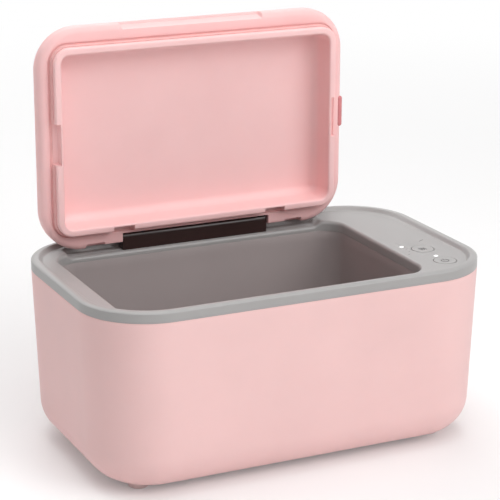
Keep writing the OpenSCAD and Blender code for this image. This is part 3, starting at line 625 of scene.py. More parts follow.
class WARMER_OT_shell(Operator):
    """Build the pink outer shell"""

    bl_idname = "warmer.shell"
    bl_label = "Outer Shell"

    def execute(self, context):
        (body,), colours = lengths(context, "body"), context.scene.warmer_colours
        high, wall, low = body.height - SHELL_DROP, body.wall, body.foot_height
        outer = shell_rings(body, 0.0, 18)
        inner = shell_rings(body, wall, 10)
        ledge, hole, seat_size = 1.4, (150, 76, 8), (160.4, 86.4, 12)
        rings = [cover_ring(*hole, low + wall), cover_ring(*hole, low + ledge)]
        rings += [cover_ring(*seat_size, low + ledge), cover_ring(*seat_size, low + 0.2)]
        rings += [cover_ring(160.8, 86.8, 12.2, low)]
        rings += outer
        edge = 0.25
        for a in quarter_turn(2):
            inset = edge * (1 - math.cos(a))
            rings.append(body_ring(body, inset, inset, high - edge + edge * math.sin(a)))
        rings += [body_ring(body, wall, wall, high)]
        rings += reversed(inner)
        shell = skin("shell", rings, ring_closed=True)
        back = body.depth / 2
        inlet_r, inlet_x, inlet_z, post_r = 4.75, 70, 30, 3.04
        cutters = [turned("inlet_hole", [(inlet_r, -3), (inlet_r, 12)], (inlet_x, back - 10, inlet_z),
                          axis="Y")]
        r, seat = body.foot_width / 2 + 0.04, low + body.foot_seat
        for middle in foot_places():
            pocket = [(r, low - 2), (r, seat), (post_r, seat), (post_r, seat + 1.2)]
            cutters.append(turned("foot_pocket", pocket, middle))
        combine(shell, cutters, "DIFFERENCE")
        finish = moulded("pink_plastic", colours.pink, rough=0.5, soft=0.06, gloss=0.4)
        settle(shell, "base", finish, ["outer_shell"])
        return {"FINISHED"}


FEET = ("foot_front_left", "foot_front_right", "foot_back_left", "foot_back_right")


def foot_places():
    """Middles of the feet on the floor, in millimetres."""
    boxes = [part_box(node) for node in FEET]
    return [((low.x + high.x) / 2 / MM, (low.y + high.y) / 2 / MM, 0.0) for low, high in boxes]


class WARMER_OT_feet(Operator):
    """Build the four feet"""

    bl_idname = "warmer.feet"
    bl_label = "Feet"

    def execute(self, context):
        (body,) = lengths(context, "body")
        r, seat = body.foot_width / 2, body.foot_height + body.foot_seat
        # The feet's pink is lightened: painted light that offsets the shade under the body.
        finish = soft_rubber("foot_rubber", srgb(246, 222, 220), rough=0.5)
        profile = [(r - 1.9, 0.25), (r - 1.6, 0.06), (r - 1.2, 0.0), (r - 0.9, 0.02), (r - 0.45, 0.2),
                   (r - 0.15, 0.5), (r, 0.95), (r, seat), (3.0, seat), (3.0, seat + 1.15)]
        for node, middle in zip(FEET, foot_places()):
            foot = turned(node.replace("foot_", "pad_"), profile, middle)
            settle(foot, "base", finish, [node])
        return {"FINISHED"}


def trough_at(top, x, y):
    """How far the trough lowers the deck at a place, from 0 to 1."""
    centre, half, back = top.opening_x, top.trough_half, top.trough_back
    sides = smooth_step(x, centre - half - 1.5, centre - half + 3.5) * (
        1 - smooth_step(x, centre + half - 3.5, centre + half + 1.5)
    )
    return sides * (1 - smooth_step(y, back - 0.7, back + 0.5)) * smooth_step(y, 25.0, 35.0)


class WARMER_OT_top_frame(Operator):
    """Build the grey top frame with its dished deck, tub opening and hinge trough"""

    bl_idname = "warmer.top_frame"
    bl_label = "Top Frame"

    def execute(self, context):
        body, top, keys = lengths(context, "body", "frame", "keys")
        colours = context.scene.warmer_colours
        high, dish = body.height, top.dish
        deck, low = high - dish, high - top.band
        side, front, drop = top.rim_side, top.rim_front, top.rim_drop
        under = deck - top.plate
        cx, cy = top.opening_x, top.opening_y
        open_w, open_d, open_r = top.opening_width, top.opening_depth, top.opening_corner
        edge, skirt = top.opening_edge, top.skirt
        steps = 32

        def outer(inset_x, inset_y, z):
            return body_ring(body, inset_x, inset_y, z, steps)

        def inner(grow, z):
            w, d, r = open_w + 2 * grow, open_d + 2 * grow, open_r + grow
            return sided(w, d, r, z, open_w / 2 - open_r, open_d / 2 - open_r, cx, cy, steps)

        rings = [outer(0.25, 0.25, low), outer(0.07, 0.07, low + 0.07), outer(0, 0, low + 0.25),
                 outer(0, 0, low + 0.8)]
        for a in quarter_turn(14):
            inset = 1 - math.cos(a)
            rings.append(outer(side * inset, front * inset, high - drop + drop * math.sin(a)))
        crest_x, crest_y = top.crest_side, top.crest_front
        slope_x, slope_y, slope_steps = top.slope_side, top.slope_front, 12
        for i in range(slope_steps + 1):
            t = i / slope_steps
            z = high - dish * smooth_step(t, 0, 1)
            rings.append(outer(crest_x + slope_x * t, crest_y + slope_y * t, z))
        lip, start = inner(edge, deck), rings[-1]
        # Closest where the trough's back edge falls
        for t in (0.03, 0.1, 0.2, 0.29, 0.33, 0.345, 0.358, 0.37, 0.382, 0.394, 0.406, 0.42, 0.44, 0.5,
                  0.6,
                  0.75, 0.9, 0.97):
            rings.append([tuple(a[k] + (b[k] - a[k]) * t for k in range(3)) for a,
                          b in zip(start, lip)])
        for a in reversed(quarter_turn(8)):
            rings.append(inner(edge * (1 - math.cos(a)), deck - edge * (1 - math.sin(a))))
        lowered = [
            [(x, y, z - top.trough * trough_at(top, x, y)) for x, y, z in ring] for ring in rings
        ]
        wall = 2.3
        lowered += [inner(0, deck - 5.6), inner(0, deck - COLLAR_DROP), inner(wall, deck - COLLAR_DROP)]
        lowered += [inner(wall, under - skirt)]
        lowered += [inner(wall + 2, under - skirt), inner(wall + 2, under - 3.5)]
        lowered += [outer(7, 7, under - 3.5), outer(5, 5, low)]
        piece = skin("frame", lowered, ring_closed=True)
        key_r = keys.diameter / 2 + keys.gap
        light_r, key_soft, light_soft = 1.32, 0.22, 0.08
        x, heat_y, power_y = keys.x, keys.heat_y, keys.power_y
        cutters = []
        for at_x, at_y, r, soft in (
            (x, heat_y, key_r, key_soft), (x, power_y, key_r, key_soft),
            (x - 8.8, heat_y + 8.1, light_r, light_soft), (x, power_y + 9.7, light_r, light_soft),
        ):
            profile = [(r, -9), (r, -soft), (r + soft * 0.3, -soft * 0.3), (r + soft, 0.0),
                       (r + soft, 2.0)]
            cutters.append(turned("key_hole", profile, (at_x, at_y, deck)))
        combine(piece, cutters, "DIFFERENCE")
        settle(piece, "base", moulded("grey_plastic", colours.grey, rough=0.36,
                                                      grain=0.08),
               ["top_frame"])
        return {"FINISHED"}


class WARMER_OT_tub(Operator):
    """Build the tub that takes the wipes"""

    bl_idname = "warmer.tub"
    bl_label = "Tub"

    def execute(self, context):
        body, top, tub = lengths(context, "body", "frame", "tub")
        colours = context.scene.warmer_colours
        cx, cy = top.opening_x, top.opening_y
        w, d, r = top.opening_width, top.opening_depth, top.opening_corner
        deck = body.height - top.dish
        seat = deck - top.plate - top.skirt
        rim = deck - COLLAR_DROP
        half_w, half_d = w / 2 - r - 4, d / 2 - r - 4
        lean, floor_z, floor_r, wall = tub.lean, tub.floor, tub.floor_edge, tub.wall

        def ring(shrink, z, corner):
            return sided(w - 2 * shrink, d - 2 * shrink, corner, z, half_w, half_d, cx, cy)

        def side(off, steps):
            radius, z0 = floor_r + off, floor_z - off
            height = seat - z0
            rings = []
            for a in quarter_turn(steps):
                z = z0 + radius * (1 - math.cos(a))
                s = lean * (seat - z) / height - off + radius * (1 - math.sin(a))
                rings.append(ring(s, z, r - lean * (seat - z) / height + off))
            for z in (z0 + radius + 2, z0 + radius + 10, (z0 + seat) / 2, seat - 12):
                s = lean * (seat - z) / height - off
                rings.append(ring(s, z, r - lean * (seat - z) / height + off))
            return rings

        def flange(z):
            out, fore = tub.flange, tub.flange_front
            return outline(w + 2 * out, d + out + fore, tub.flange_corner, z, cx, cy + (out - fore) / 2,
                           across=[cx + v for v in ends(half_w)], along=[cy + v for v in ends(half_d)])

        outside = side(wall, 8)
        inside = side(0.0, 14)
        rings = outside + [ring(-wall, seat - 2, r + wall), flange(seat - 2), flange(seat),
                           ring(-wall, seat, r + wall)]
        rings += [ring(-wall, rim, r + wall), ring(-0.4, rim, r + 0.4), ring(-0.1, rim - 0.12, r + 0.1),
                  ring(0.0, rim - 0.4, r), ring(0.0, seat, r)]
        rings += reversed(inside)
        piece = skin("tub", rings)
        # The tub's finish carries painted bounce light and a painted pink reflection over its grey.
        settle(piece, "base", moulded("tub_plastic", colours.tub, rough=0.45, grain=0.2),
               ["inner_tub"])
        return {"FINISHED"}


class WARMER_OT_lid(Operator):
    """Build the lid's outer shell with its finger scoop and hinge notch"""

    bl_idname = "warmer.lid"
    bl_label = "Lid"

    def execute(self, context):
        lid, top, hinge, liner = lengths(context, "lid", "frame", "hinge", "liner")
        colours = context.scene.warmer_colours
        cx, cy = top.opening_x, lid.y
        w, d, r = lid.width, lid.depth, lid.corner
        rim, high, edge, wall = lid.rim, lid.rim + lid.height, lid.edge, lid.wall
        front, back = cy - d / 2, cy + d / 2
        scoop, scoop_x = lid.scoop_width / 2, lid.scoop_x
        scoop_top, rim_edge = rim + lid.scoop_height, lid.rim_edge
        near = [scoop_x + s * (scoop + v)
                for s in (-1, 1) for v in (-2.5, -1.2, -0.8, -0.45, -0.15, 0.15, 0.45, 0.8, 1.4)]
        across = [cx + v for v in ends(w / 2 - r)] + near + [cx - 20, cx + 20]
        along = [cy + v for v in ends(d / 2 - r)]

        def ring(inset, z, corner=None):
            return outline(w - 2 * inset, d - 2 * inset, r - inset if corner is None else corner, z, cx,
                           cy,
                           across=across, along=along)

        def scooped(points):
            made = []
            for x, y, z in points:
                if y < front + 12:
                    t = (z - rim) / lid.scoop_height
                    depth = lid.scoop_depth + (lid.scoop_end - lid.scoop_depth) * t
                    sides = 1 - smooth_step(abs(x - scoop_x), scoop - 0.7, scoop + 0.5)
                    above = 1 - smooth_step(z, scoop_top - 0.35, scoop_top + 0.35)
                    y += max(front + depth - y, 0.0) * sides * above
                made.append((x, y, z))
            return made

        centre_z = high - edge

        def inset_at(z):
            if z < rim + rim_edge:
                return rim_edge * (1 - math.sqrt(max(1 - ((rim + rim_edge - z) / rim_edge) ** 2, 0)))
            return edge * (1 - math.sqrt(max(1 - (max(z - centre_z, 0) / edge) ** 2, 0)))

        levels = [rim + rim_edge * (1 - math.cos(a)) for a in quarter_turn(14)]
        levels += [centre_z + edge * math.sin(a) for a in quarter_turn(20)]
        levels += [scoop_top + v for v in (-1.6, -0.9, -0.5, -0.3, 0.25, 0.4, 0.8)]
        outer = [scooped(ring(inset_at(z), z)) for z in sorted(levels)]
        shell = skin("lid", outer)

        radius = edge - wall
        hollow = [ring(wall, rim + 2)]
        for a in quarter_turn(8):
            hollow.append(ring(wall + radius * (1 - math.cos(a)), centre_z + radius * math.sin(a)))
        hollow = skin("lid_hollow", hollow)
        notch_half, notch_front = hinge.bracket / 2 + 0.5, hinge.y - hinge.half - 0.3
        notch_top = hinge.z + hinge.half + 0.35
        cover, web = 1.5, 1.6
        housing = block("notch_housing", (cx - notch_half - cover, notch_front - 1.1, rim - 3),
                        (cx + notch_half + cover, back + 4, notch_top + cover))
        rest = block("scoop_back", (scoop_x - scoop - web, front - 3, rim - 3),
                     (scoop_x + scoop + web, front + lid.scoop_depth + web, scoop_top + web))

        def rebate(name, grow):
            half, boss = lid.rebate_half + grow, lid.boss_half
            deep, less = back - lid.rebate_depth - grow, back - lid.boss_rebate - grow
            shape = [(-half - 3, back + 4), (-half, deep), (-boss, deep), (-boss, less),
                     (boss, less), (boss, deep), (half, deep), (half + 3, back + 4)]
            heights = (rim - 2, rim + lid.rebate_height + grow)
            return skin(name, [[(cx + x, y, z) for x, y in shape] for z in heights])

        combine(hollow, [housing, rest, rebate("rebate_wall", web)], "DIFFERENCE")
        for s in (-1, 1):
            x = cx + s * (notch_half + 5)
            boss = block("hinge_boss", (x - 5.5, hinge.y - 3, rim - 3), (x + 5.5, hinge.y + 3, high))
            combine(hollow, [boss], "DIFFERENCE")
        mouth_w = liner.width + 2 * liner.groove
        mouth_d = liner.depth + 2 * liner.groove
        mouth_r = liner.corner + liner.groove
        mouth = [outline(mouth_w + 2 * g, mouth_d + 2 * g, mouth_r + g, z, cx, liner.y)
                 for g, z in ((0.5, rim - 1), (0.45, rim), (0.12, rim + 0.12), (0, rim + 0.45),
                              (0, rim + 3))]
        mouth = skin("lid_mouth", mouth)
        notch = block("hinge_notch", (cx - notch_half, notch_front, rim - 4),
                      (cx + notch_half, back + 6, notch_top), 0.5)
        pad_r = liner.pad_width / 2
        pad_x, pad_y = cx + w / 2 + liner.pad_proud - pad_r, top.opening_y
        pad_l = liner.pad_length
        pocket = skin("pad_pocket", [outline(2 * pad_r, pad_l, pad_r - 0.02, z, pad_x, pad_y, steps=12)
                                     for z in (rim + 0.2, rim + 5)])
        combine(shell, [hollow, mouth, notch, rebate("back_rebate", 0.0), pocket], "DIFFERENCE")
        for s in (-1, 1):
            bore_r, bore_x = hinge.pin + 0.05, cx + s * (hinge.bracket / 2 + 4.2)
            bore = turned("pin_bore", [(bore_r, -5), (bore_r, 5)],
                          (bore_x, hinge.y, hinge.z), axis="X", steps=32)
            combine(shell, [bore], "DIFFERENCE")
        open_lid(shell, hinge)
        # The lid's finish is a lightened copy of the body's pink: painted light.
        finish = moulded("lid_plastic_painted_light", colours.lid, rough=0.52, soft=0.06, gloss=0.36)
        settle(shell, "lid", finish, ["lid_shell"])
        return {"FINISHED"}


class WARMER_OT_liner(Operator):
    """Build the lid's liner with its plug lip, the seal round it and the soft pad in the lid's edge"""

    bl_idname = "warmer.liner"
    bl_label = "Lid Liner, Seal and Pad"

    def execute(self, context):
        liner, lid, top, hinge = lengths(context, "liner", "lid", "frame", "hinge")
        colours = context.scene.warmer_colours
        cx, cy = top.opening_x, liner.y
        w, d, r, wall = liner.width, liner.depth, liner.corner, liner.wall
        rim = lid.rim
        face, floor_z = rim - liner.proud, rim + liner.recess
        floor_r = liner.recess_edge

        def ring(inset, z, corner=None):
            corner = r - inset if corner is None else corner
            return sided(w - 2 * inset, d - 2 * inset, corner, z, w / 2 - r, d / 2 - r, cx, cy)

        inside = []
        for a in quarter_turn(8):
            s = wall + 0.4 + floor_r * (1 - math.cos(a))
            inside.append(ring(s, floor_z - floor_r * (1 - math.sin(a)), max(r - s, 0.6)))
        inside.reverse()
        edge = 1.1
        lip_in = [ring(wall - edge * (1 - math.cos(a)), face + edge * (1 - math.sin(a)))
                  for a in quarter_turn(5)]
        lip_out = [ring(edge * (1 - math.sin(a)),
                        face + edge * (1 - math.cos(a))) for a in quarter_turn(5)]
        rings = inside + [ring(wall + 0.12, face + 4, r - wall)] + lip_in + lip_out
        rings += [ring(0, rim - 0.5), ring(0, rim + 2)]
        flange = liner.groove + 2.0
        rings += [ring(-flange, rim + 2, r + flange + 4), ring(-flange, rim + 3.6, r + flange + 4)]
        rings += [ring(0, rim + 3.6), ring(0, floor_z - 4), ring(1.3, floor_z - 1),
                  ring(2.8, floor_z + 1.8)]
        rings.reverse()
        piece = skin("liner", rings)
        back = cy + d / 2
        trim = block("flange_trim", (cx - w, back + 1.4, rim + 1), (cx + w, back + 20, rim + 5))
        combine(piece, [trim, *self.notches(liner, lid, top, face)], "DIFFERENCE")
        open_lid(piece, hinge)
        # The liner's finish is a lightened copy of the body's pink: painted light for the shade in the
        # recess.
        finish = moulded("pink_liner", colours.liner, rough=0.5, soft=0.06, gloss=0.4)
        settle(piece, "lid", finish, ["lid_liner"])

        seal, proud, groove = liner.seal, liner.seal_proud, liner.groove
        tip = rim - proud
        profile = [(-0.02, rim + 2), (-0.02, tip + 0.2), (-0.12, tip + 0.03), (-0.3, tip),
                   (-seal + 0.22, tip), (-seal + 0.05, tip + 0.08), (-seal, tip + 0.3),
                   (-seal, rim - 1.6), (-seal - 0.3, rim - 1.2), (-seal - 0.3, rim - 0.8), (-seal,
                                                                                            rim - 0.4),
                   (-seal, rim + 0.3), (-seal - 0.12, rim + 0.42), (-groove + 0.15, rim + 0.42),
                   (-groove + 0.05, rim + 0.5), (-groove + 0.05, rim + 1.95)]
        ring_piece = skin("seal", [ring(s, z) for s, z in profile], ring_closed=True)
        combine(ring_piece, self.notches(liner, lid, top, face), "DIFFERENCE")
        open_lid(ring_piece, hinge)
        settle(ring_piece, "lid", soft_rubber("seal_rubber", colours.seal), ["lid_seal"])

        pad_r = liner.pad_width / 2
        x = cx + lid.width / 2 + liner.pad_proud - pad_r
        y, length = top.opening_y, liner.pad_length
        pad = [outline(2 * (pad_r - g), length - 2 * g, pad_r - g - 0.02, z, x, y, steps=12)
               for g, z in ((1.1, rim + 0.21), (0.6, rim + 0.3), (0.25, rim + 0.5), (0.02, rim + 0.9),
                            (0.02, rim + 4.4), (0.25, rim + 4.8), (0.6, rim + 5))]
        piece = skin("edge_pad", pad)
        open_lid(piece, hinge)
        settle(piece, "lid", soft_rubber("pad_rubber", colours.pad, rough=0.55),
               ["lid_pad"])
        return {"FINISHED"}

    def notches(self, liner, lid, top, face):
        """Cutters for the four notches in the lip."""
        cx, cy = top.opening_x, liner.y
        w, back, wall = liner.width, liner.y + liner.depth / 2, liner.wall
        web, rim = liner.notch_web, lid.rim
        made = []
        for s in (-1, 1):
            x, half = cx + s * liner.back_notch_x, liner.back_notch / 2
            made.append(block("back_notch", (x - half, back - wall + web, face - 2),
                              (x + half, back + 5, rim), 0.35))
            x, half = cx + s * (w / 2 - wall + web), liner.side_notch / 2
            made.append(block("side_notch", (min(x, x + s * 9), cy - half, face - 2),
                              (max(x, x + s * 9), cy + half, rim), 0.35))
        return made


def stroke(name, lines, z, width, body, finish):
    """Flat printed marks: lines is a list of point lists (x, y), joined into one thin mesh."""
    work = bmesh.new()
    for points in lines:
        rows = []
        last = len(points) - 1
        for i, (x, y) in enumerate(points):
            ax, ay = points[max(i - 1, 0)]
            bx, by = points[min(i + 1, last)]
            along = Vector((bx - ax, by - ay, 0)).normalized()
            side = Vector((-along.y, along.x, 0)) * width / 2
            middle = Vector((x, y, z))
            rows.append([
                work.verts.new((middle + side) * MM), work.verts.new((middle - side) * MM),
                work.verts.new((middle - side - Vector((0, 0, 0.05))) * MM),
                work.verts.new((middle + side - Vector((0, 0, 0.05))) * MM),
            ])
        for a, b in zip(rows, rows[1:]):
            for k in range(4):
                work.faces.new((a[k], a[(k + 1) % 4], b[(k + 1) % 4], b[k]))
        work.faces.new(rows[0])
        work.faces.new(reversed(rows[-1]))
    mesh = bpy.data.meshes.new(name)
    work.to_mesh(mesh)
    work.free()
    piece = tidy(add_object(name, mesh))
    return settle(piece, body, finish)


def arc_line(cx, cy, r, start, end, steps=24):
    """Points along an arc, angles in degrees."""
    return [
        (cx + r * math.cos(math.radians(start + (end - start) * i / steps)),
         cy + r * math.sin(math.radians(start + (end - start) * i / steps)))
        for i in range(steps + 1)
    ]


class WARMER_OT_keys(Operator):
    """Build the two keys, their printed marks and the lights"""

    bl_idname = "warmer.keys"
    bl_label = "Keys and Lights"

    def execute(self, context):
        keys, body, top = lengths(context, "keys", "body", "frame")
        colours = context.scene.warmer_colours
        deck = body.height - top.dish
        under = deck - top.plate
        r, x = keys.diameter / 2, keys.x
        finish = moulded("key_plastic", scaled(colours.grey, 1.02), rough=0.34, grain=0.06)
        print_finish = moulded("key_print", colours.mark, rough=0.5, grain=0.03)
        face = deck + 0.1
        for node, y, body_name in (("heat_button", keys.heat_y, "heat_key"),
                                   ("power_button", keys.power_y, "power_key")):
            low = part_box(node)[0].z / MM
            profile = [(1.5, low), (1.5, under - 1.3), (r + 1.2, under - 1.3), (r + 1.2, under - 0.1),
                       (r, under - 0.1), (r, face - 0.35), (r - 0.06, face - 0.16), (r - 0.18,
                           face - 0.05), (r - 0.35, face),
                       (r - 0.8, face - 0.02), (r - 2.0, face - 0.12), (r - 4.0, face - 0.2), (0.8,
                           face - 0.22)]
            cap = turned(node.replace("button", "cap"), profile, (x, y, 0), steps=96)
            settle(cap, body_name, finish, [node])
        y = keys.power_y
        stroke("power_mark",
               [arc_line(x, y, 2.1, 125, 415), [(x, y + 0.5), (x, y + 1.5), (x, y + 2.9)]],
               face - 0.1, 0.5, "power_key", print_finish)
        y = keys.heat_y
        waves = [
            [(x + k * 1.35 + 0.38 * math.sin(2 * math.pi * t / 16),
              y - 2.0 + 4.0 * t / 16) for t in range(17)]
            for k in (-1, 0, 1)
        ]
        stroke("heat_mark", waves, face - 0.1, 0.48, "heat_key", print_finish)
        deck_z = deck + 0.03
        dots = [[(x + dx - 0.45, y + dy), (x + dx, y + dy), (x + dx + 0.45, y + dy)]
                for dx, dy in ((-8.4, 3.2), (-9.4, -1.6), (-12.4, -6.3))]
        dash = [[(x + 5.4, y + 13.2), (x + 7.3, y + 14.3), (x + 9.2, y + 15.3)]]
        stroke("deck_marks", dots + dash, deck_z, 0.45, "base", print_finish)
        glow = lit_plastic("light_pipe", (1.0, 1.0, 1.0), 0.9)
        for node in ("heat_light_pipe", "power_light_pipe"):
            low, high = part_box(node)
            middle = ((low.x + high.x) / 2 / MM, (low.y + high.y) / 2 / MM, 0)
            h, r0 = high.z / MM, keys.light / 2
            profile = [(r0 + 0.8, low.z / MM), (r0 + 0.8, under - 0.01), (r0, under - 0.01),
                       (r0, h - 0.5),
                       (r0 - 0.15, h - 0.25), (r0 - 0.5, h - 0.08), (0.3, h)]
            pipe = turned(node.replace("_pipe", ""), profile, middle, steps=32)
            settle(pipe, "base", glow, [node])
        return {"FINISHED"}


class WARMER_OT_hinge(Operator):
    """Build the dark hinge bracket"""

    bl_idname = "warmer.hinge"
    bl_label = "Hinge"

    def execute(self, context):
        hinge, top, body = lengths(context, "hinge", "frame", "body")
        colours = context.scene.warmer_colours
        cx, y, z, half = top.opening_x, hinge.y, hinge.z, hinge.half
        length = hinge.bracket / 2
        foot = body.height - top.dish - top.trough
        section = [(-half, foot), (half, foot), (half, z)]
        section += [(half * math.cos(a),
                     z + half * math.sin(a)) for a in (math.pi * i / 20 for i in range(1, 20))]
        section += [(-half, z)]
        middle_h, rings = (foot + z) / 2, []
        for x, shrink in ((-length, 0.5), (-length + 0.15, 0.18), (-length + 0.5, 0.0), (0.0, 0.0),
                          (length - 0.5, 0.0), (length - 0.15, 0.18), (length, 0.5)):
            ring = []
            for v, h in section:
                h += shrink if h < middle_h else -shrink
                ring.append((cx + x, y + v * (1 - shrink / half), max(h, foot)))
            rings.append(ring)
        piece = skin("hinge_block", rings)
        settle(piece, "base", moulded("hinge_plastic", colours.dark, rough=0.22,
                                                       grain=0.03),
               ["hinge_bracket"])
        return {"FINISHED"}


def dress(nodes, finish):
    """Gives CAD nodes a finish."""
    for name in nodes:
        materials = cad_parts[name].data.materials
        materials.clear()
        materials.append(finish)


class WARMER_OT_fittings(Operator):
    """Give the cover, the inlet, the fasteners and the parts inside their finishes"""

    bl_idname = "warmer.fittings"
    bl_label = "Cover, Fasteners and Inside"

    def execute(self, context):
        steel = bare_metal("screw_steel", srgb(176, 176, 180))
        dress(["base_cover"], bpy.data.materials["pink_plastic"])
        dress(["base_screws", "tub_screws", "board_screws", "hinge_screws"], steel)
        dress(["hinge_pin"], bare_metal("pin_steel", srgb(186, 186, 190), rough=0.2, streak=(12, 1, 1)))
        dress(["insulation_jacket", "insulation_pad"], cell_foam("foam", srgb(226, 226, 220)))
        dress(["heat_plate"], bare_metal("plate_aluminium", srgb(214, 214, 218),
                                         rough=0.32, streak=(12, 1, 1)))
        dress(["heating_film"], moulded("film", srgb(206, 140, 62), rough=0.25, variation=0.08))
        dress(["thermostat"], bare_metal("thermostat_metal", srgb(190, 190, 190)))
        dress(["thermal_fuse"], moulded("fuse_ceramic", srgb(232, 230, 224), rough=0.3))
        dress(["heater_leads"], soft_rubber("red_wire", srgb(178, 36, 30)))
        dress(["inlet_leads"], soft_rubber("black_wire", srgb(34, 34, 36)))
        dress(["control_board"], solder_mask("board", srgb(38, 106, 70)))
        dress(["key_switches", "power_inlet"], moulded("black_plastic", srgb(42, 42, 44), rough=0.38,
                                                       grain=0.25))
        return {"FINISHED"}


# ---- Stage


def area_light(name, at, target, side, power):
    """A square soft panel that shines from a place towards a target, in metres and watts."""
    light = bpy.data.lights.new(name, "AREA")
    light.shape = "SQUARE"
    light.size = side
    light.energy = power
    item = bpy.data.objects.new(name, light)
    item.location = at
    item.rotation_mode = "QUATERNION"
    item.rotation_quaternion = (Vector(target) - Vector(at)).to_track_quat("-Z", "Y")
    bpy.context.scene.collection.objects.link(item)


def seen_directly(tree):
    """1 for the rays that show the studio itself, also in a gloss or through glass, else 0."""
    path = tree.nodes.new("ShaderNodeLightPath")
    total = path.outputs["Is Camera Ray"]
    for name in ("Is Glossy Ray", "Is Transmission Ray"):
        add = tree.nodes.new("ShaderNodeMath")
        add.operation, add.use_clamp = "ADD", True
        tree.links.new(total, add.inputs[0])
        tree.links.new(path.outputs[name], add.inputs[1])
        total = add.outputs[0]
    return total


def floor_finish(rgb):
    """A matt floor that takes the shadow near the object and fades to white away from it."""
    material, tree, shader = new_material("studio_floor")
    cloud = noise(tree, 3.0)
    tree.links.new(tint(tree, cloud, scaled(rgb, 0.99), rgb), shader.inputs["Base Color"])
    shader.inputs["Roughness"].default_value = 0.9
    shader.inputs["Specular IOR Level"].default_value = 0.1
    glow, mix = tree.nodes.new("ShaderNodeEmission"), tree.nodes.new("ShaderNodeMixShader")
    away, fade = tree.nodes.new("ShaderNodeVectorMath"), tree.nodes.new("ShaderNodeMapRange")
    away.operation, fade.interpolation_type = "LENGTH", "SMOOTHSTEP"
    for socket, value in (("From Min", 0.4), ("From Max", 1.3), ("To Min", 0.16), ("To Max", 1.0)):
        fade.inputs[socket].default_value = value
    tree.links.new(tree.nodes.new("ShaderNodeTexCoord").outputs["Object"], away.inputs[0])
    tree.links.new(away.outputs["Value"], fade.inputs["Value"])
    share = tree.nodes.new("ShaderNodeMath")
    share.operation = "MULTIPLY"
    tree.links.new(seen_directly(tree), share.inputs[0])
    tree.links.new(fade.outputs["Result"], share.inputs[1])
    tree.links.new(share.outputs[0], mix.inputs[0])
    tree.links.new(shader.outputs[0], mix.inputs[1])
    tree.links.new(glow.outputs[0], mix.inputs[2])
    tree.links.new(mix.outputs[0], tree.nodes["Material Output"].inputs["Surface"])
    return material


def white_world():
    """White where it is seen, and a weak even light elsewhere."""
    world = bpy.data.worlds.new("studio")
    world.use_nodes = True
    tree = world.node_tree
    tree.nodes.clear()
    out = tree.nodes.new("ShaderNodeOutputWorld")
    soft, white = tree.nodes.new("ShaderNodeBackground"), tree.nodes.new("ShaderNodeBackground")
    mix = tree.nodes.new("ShaderNodeMixShader")
    soft.inputs["Color"].default_value = white.inputs["Color"].default_value = (1.0, 1.0, 1.0, 1)
    soft.inputs["Strength"].default_value = 0.08
    white.inputs["Strength"].default_value = 1.0
    tree.links.new(seen_directly(tree), mix.inputs[0])
    tree.links.new(soft.outputs[0], mix.inputs[1])
    tree.links.new(white.outputs[0], mix.inputs[2])
    tree.links.new(mix.outputs[0], out.inputs["Surface"])
    return world


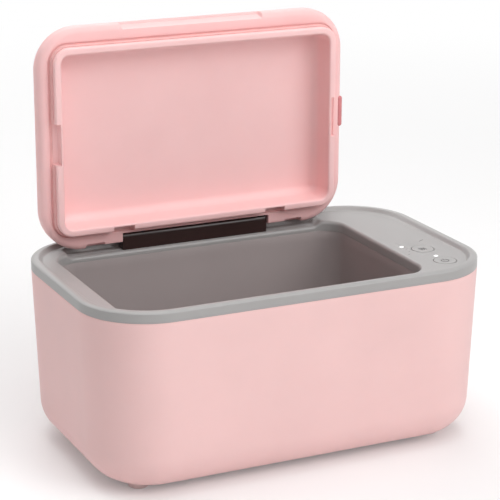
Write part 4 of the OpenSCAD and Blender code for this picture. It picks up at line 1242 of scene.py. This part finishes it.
class WARMER_OT_stage(Operator):
    """Build the floor, the light and the camera"""

    bl_idname = "warmer.stage"
    bl_label = "Stage"

    def execute(self, context):
        scene, colours = context.scene, context.scene.warmer_colours
        scene.view_settings.view_transform = "Standard"

        work = bmesh.new()
        bmesh.ops.create_grid(work, x_segments=1, y_segments=1, size=6.0)
        mesh = bpy.data.meshes.new("floor")
        work.to_mesh(mesh)
        work.free()
        floor = add_object("floor", mesh)
        mesh.materials.append(floor_finish(colours.floor))

        scene.world = white_world()

        aim = (0.0, 0.0, 0.1)
        area_light("top_light", (0.0, 0.0, 2.6), aim, 1.4, 18.0)
        area_light("front_top_light", (0.0, -1.2, 1.7), aim, 2.0, 23.5)
        area_light("back_top_light", (0.0, 1.3, 1.6), aim, 1.8, 17.0)
        area_light("right_light", (1.1, -1.6, 1.1), aim, 1.4, 15.8)
        area_light("left_light", (-1.5, 1.2, 1.2), aim, 1.2, 6.5)

        camera = bpy.data.cameras.new("camera")
        camera.sensor_width = SENSOR
        camera.lens = SENSOR * FOCAL_PIXELS / PHOTO_PIXELS
        item = bpy.data.objects.new("camera", camera)
        item.matrix_world = (
            Matrix.Translation(CAMERA_AT)
            @ Matrix.Rotation(-math.radians(CAMERA_AZIMUTH), 4, "Z")
            @ Matrix.Rotation(QUARTER - math.radians(CAMERA_ELEVATION), 4, "X")
            @ Matrix.Rotation(math.radians(CAMERA_ROLL), 4, "Z")
        )
        camera.clip_start, camera.clip_end = 0.01, 50.0
        scene.collection.objects.link(item)
        scene.camera = item
        return {"FINISHED"}


OPERATORS = (
    WARMER_OT_stage, WARMER_OT_shell, WARMER_OT_feet, WARMER_OT_top_frame, WARMER_OT_tub, WARMER_OT_lid,
    WARMER_OT_liner, WARMER_OT_keys, WARMER_OT_hinge, WARMER_OT_fittings,
)
SETTINGS = {
    "warmer_body": WarmerBody, "warmer_frame": WarmerFrame, "warmer_tub": WarmerTub,
    "warmer_lid": WarmerLid, "warmer_liner": WarmerLiner, "warmer_keys": WarmerKeys,
    "warmer_hinge": WarmerHinge,
    "warmer_colours": WarmerColours,
}


class WARMER_PT_pieces(Panel):
    """Lists the warmer's pieces and settings"""

    bl_idname = "WARMER_PT_pieces"
    bl_label = "Wipe Warmer"
    bl_space_type = "VIEW_3D"
    bl_region_type = "UI"
    bl_category = "Wipe Warmer"

    def draw(self, context):
        for operator in OPERATORS:
            self.layout.operator(operator.bl_idname)
        for setting, group in SETTINGS.items():
            box = self.layout.box()
            box.label(text=group.__doc__)
            for name in group.__annotations__:
                box.prop(getattr(context.scene, setting), name)


def register():
    for group in SETTINGS.values():
        bpy.utils.register_class(group)
    for operator in OPERATORS:
        bpy.utils.register_class(operator)
    bpy.utils.register_class(WARMER_PT_pieces)
    for setting, group in SETTINGS.items():
        setattr(bpy.types.Scene, setting, PointerProperty(type=group))


def unregister():
    for setting in SETTINGS:
        delattr(bpy.types.Scene, setting)
    bpy.utils.unregister_class(WARMER_PT_pieces)
    for operator in reversed(OPERATORS):
        bpy.utils.unregister_class(operator)
    for group in reversed(list(SETTINGS.values())):
        bpy.utils.unregister_class(group)


def main():
    register()
    for operator in OPERATORS:
        group, name = operator.bl_idname.split(".")
        getattr(getattr(bpy.ops, group), name)()


if __name__ == "__main__":
    main()
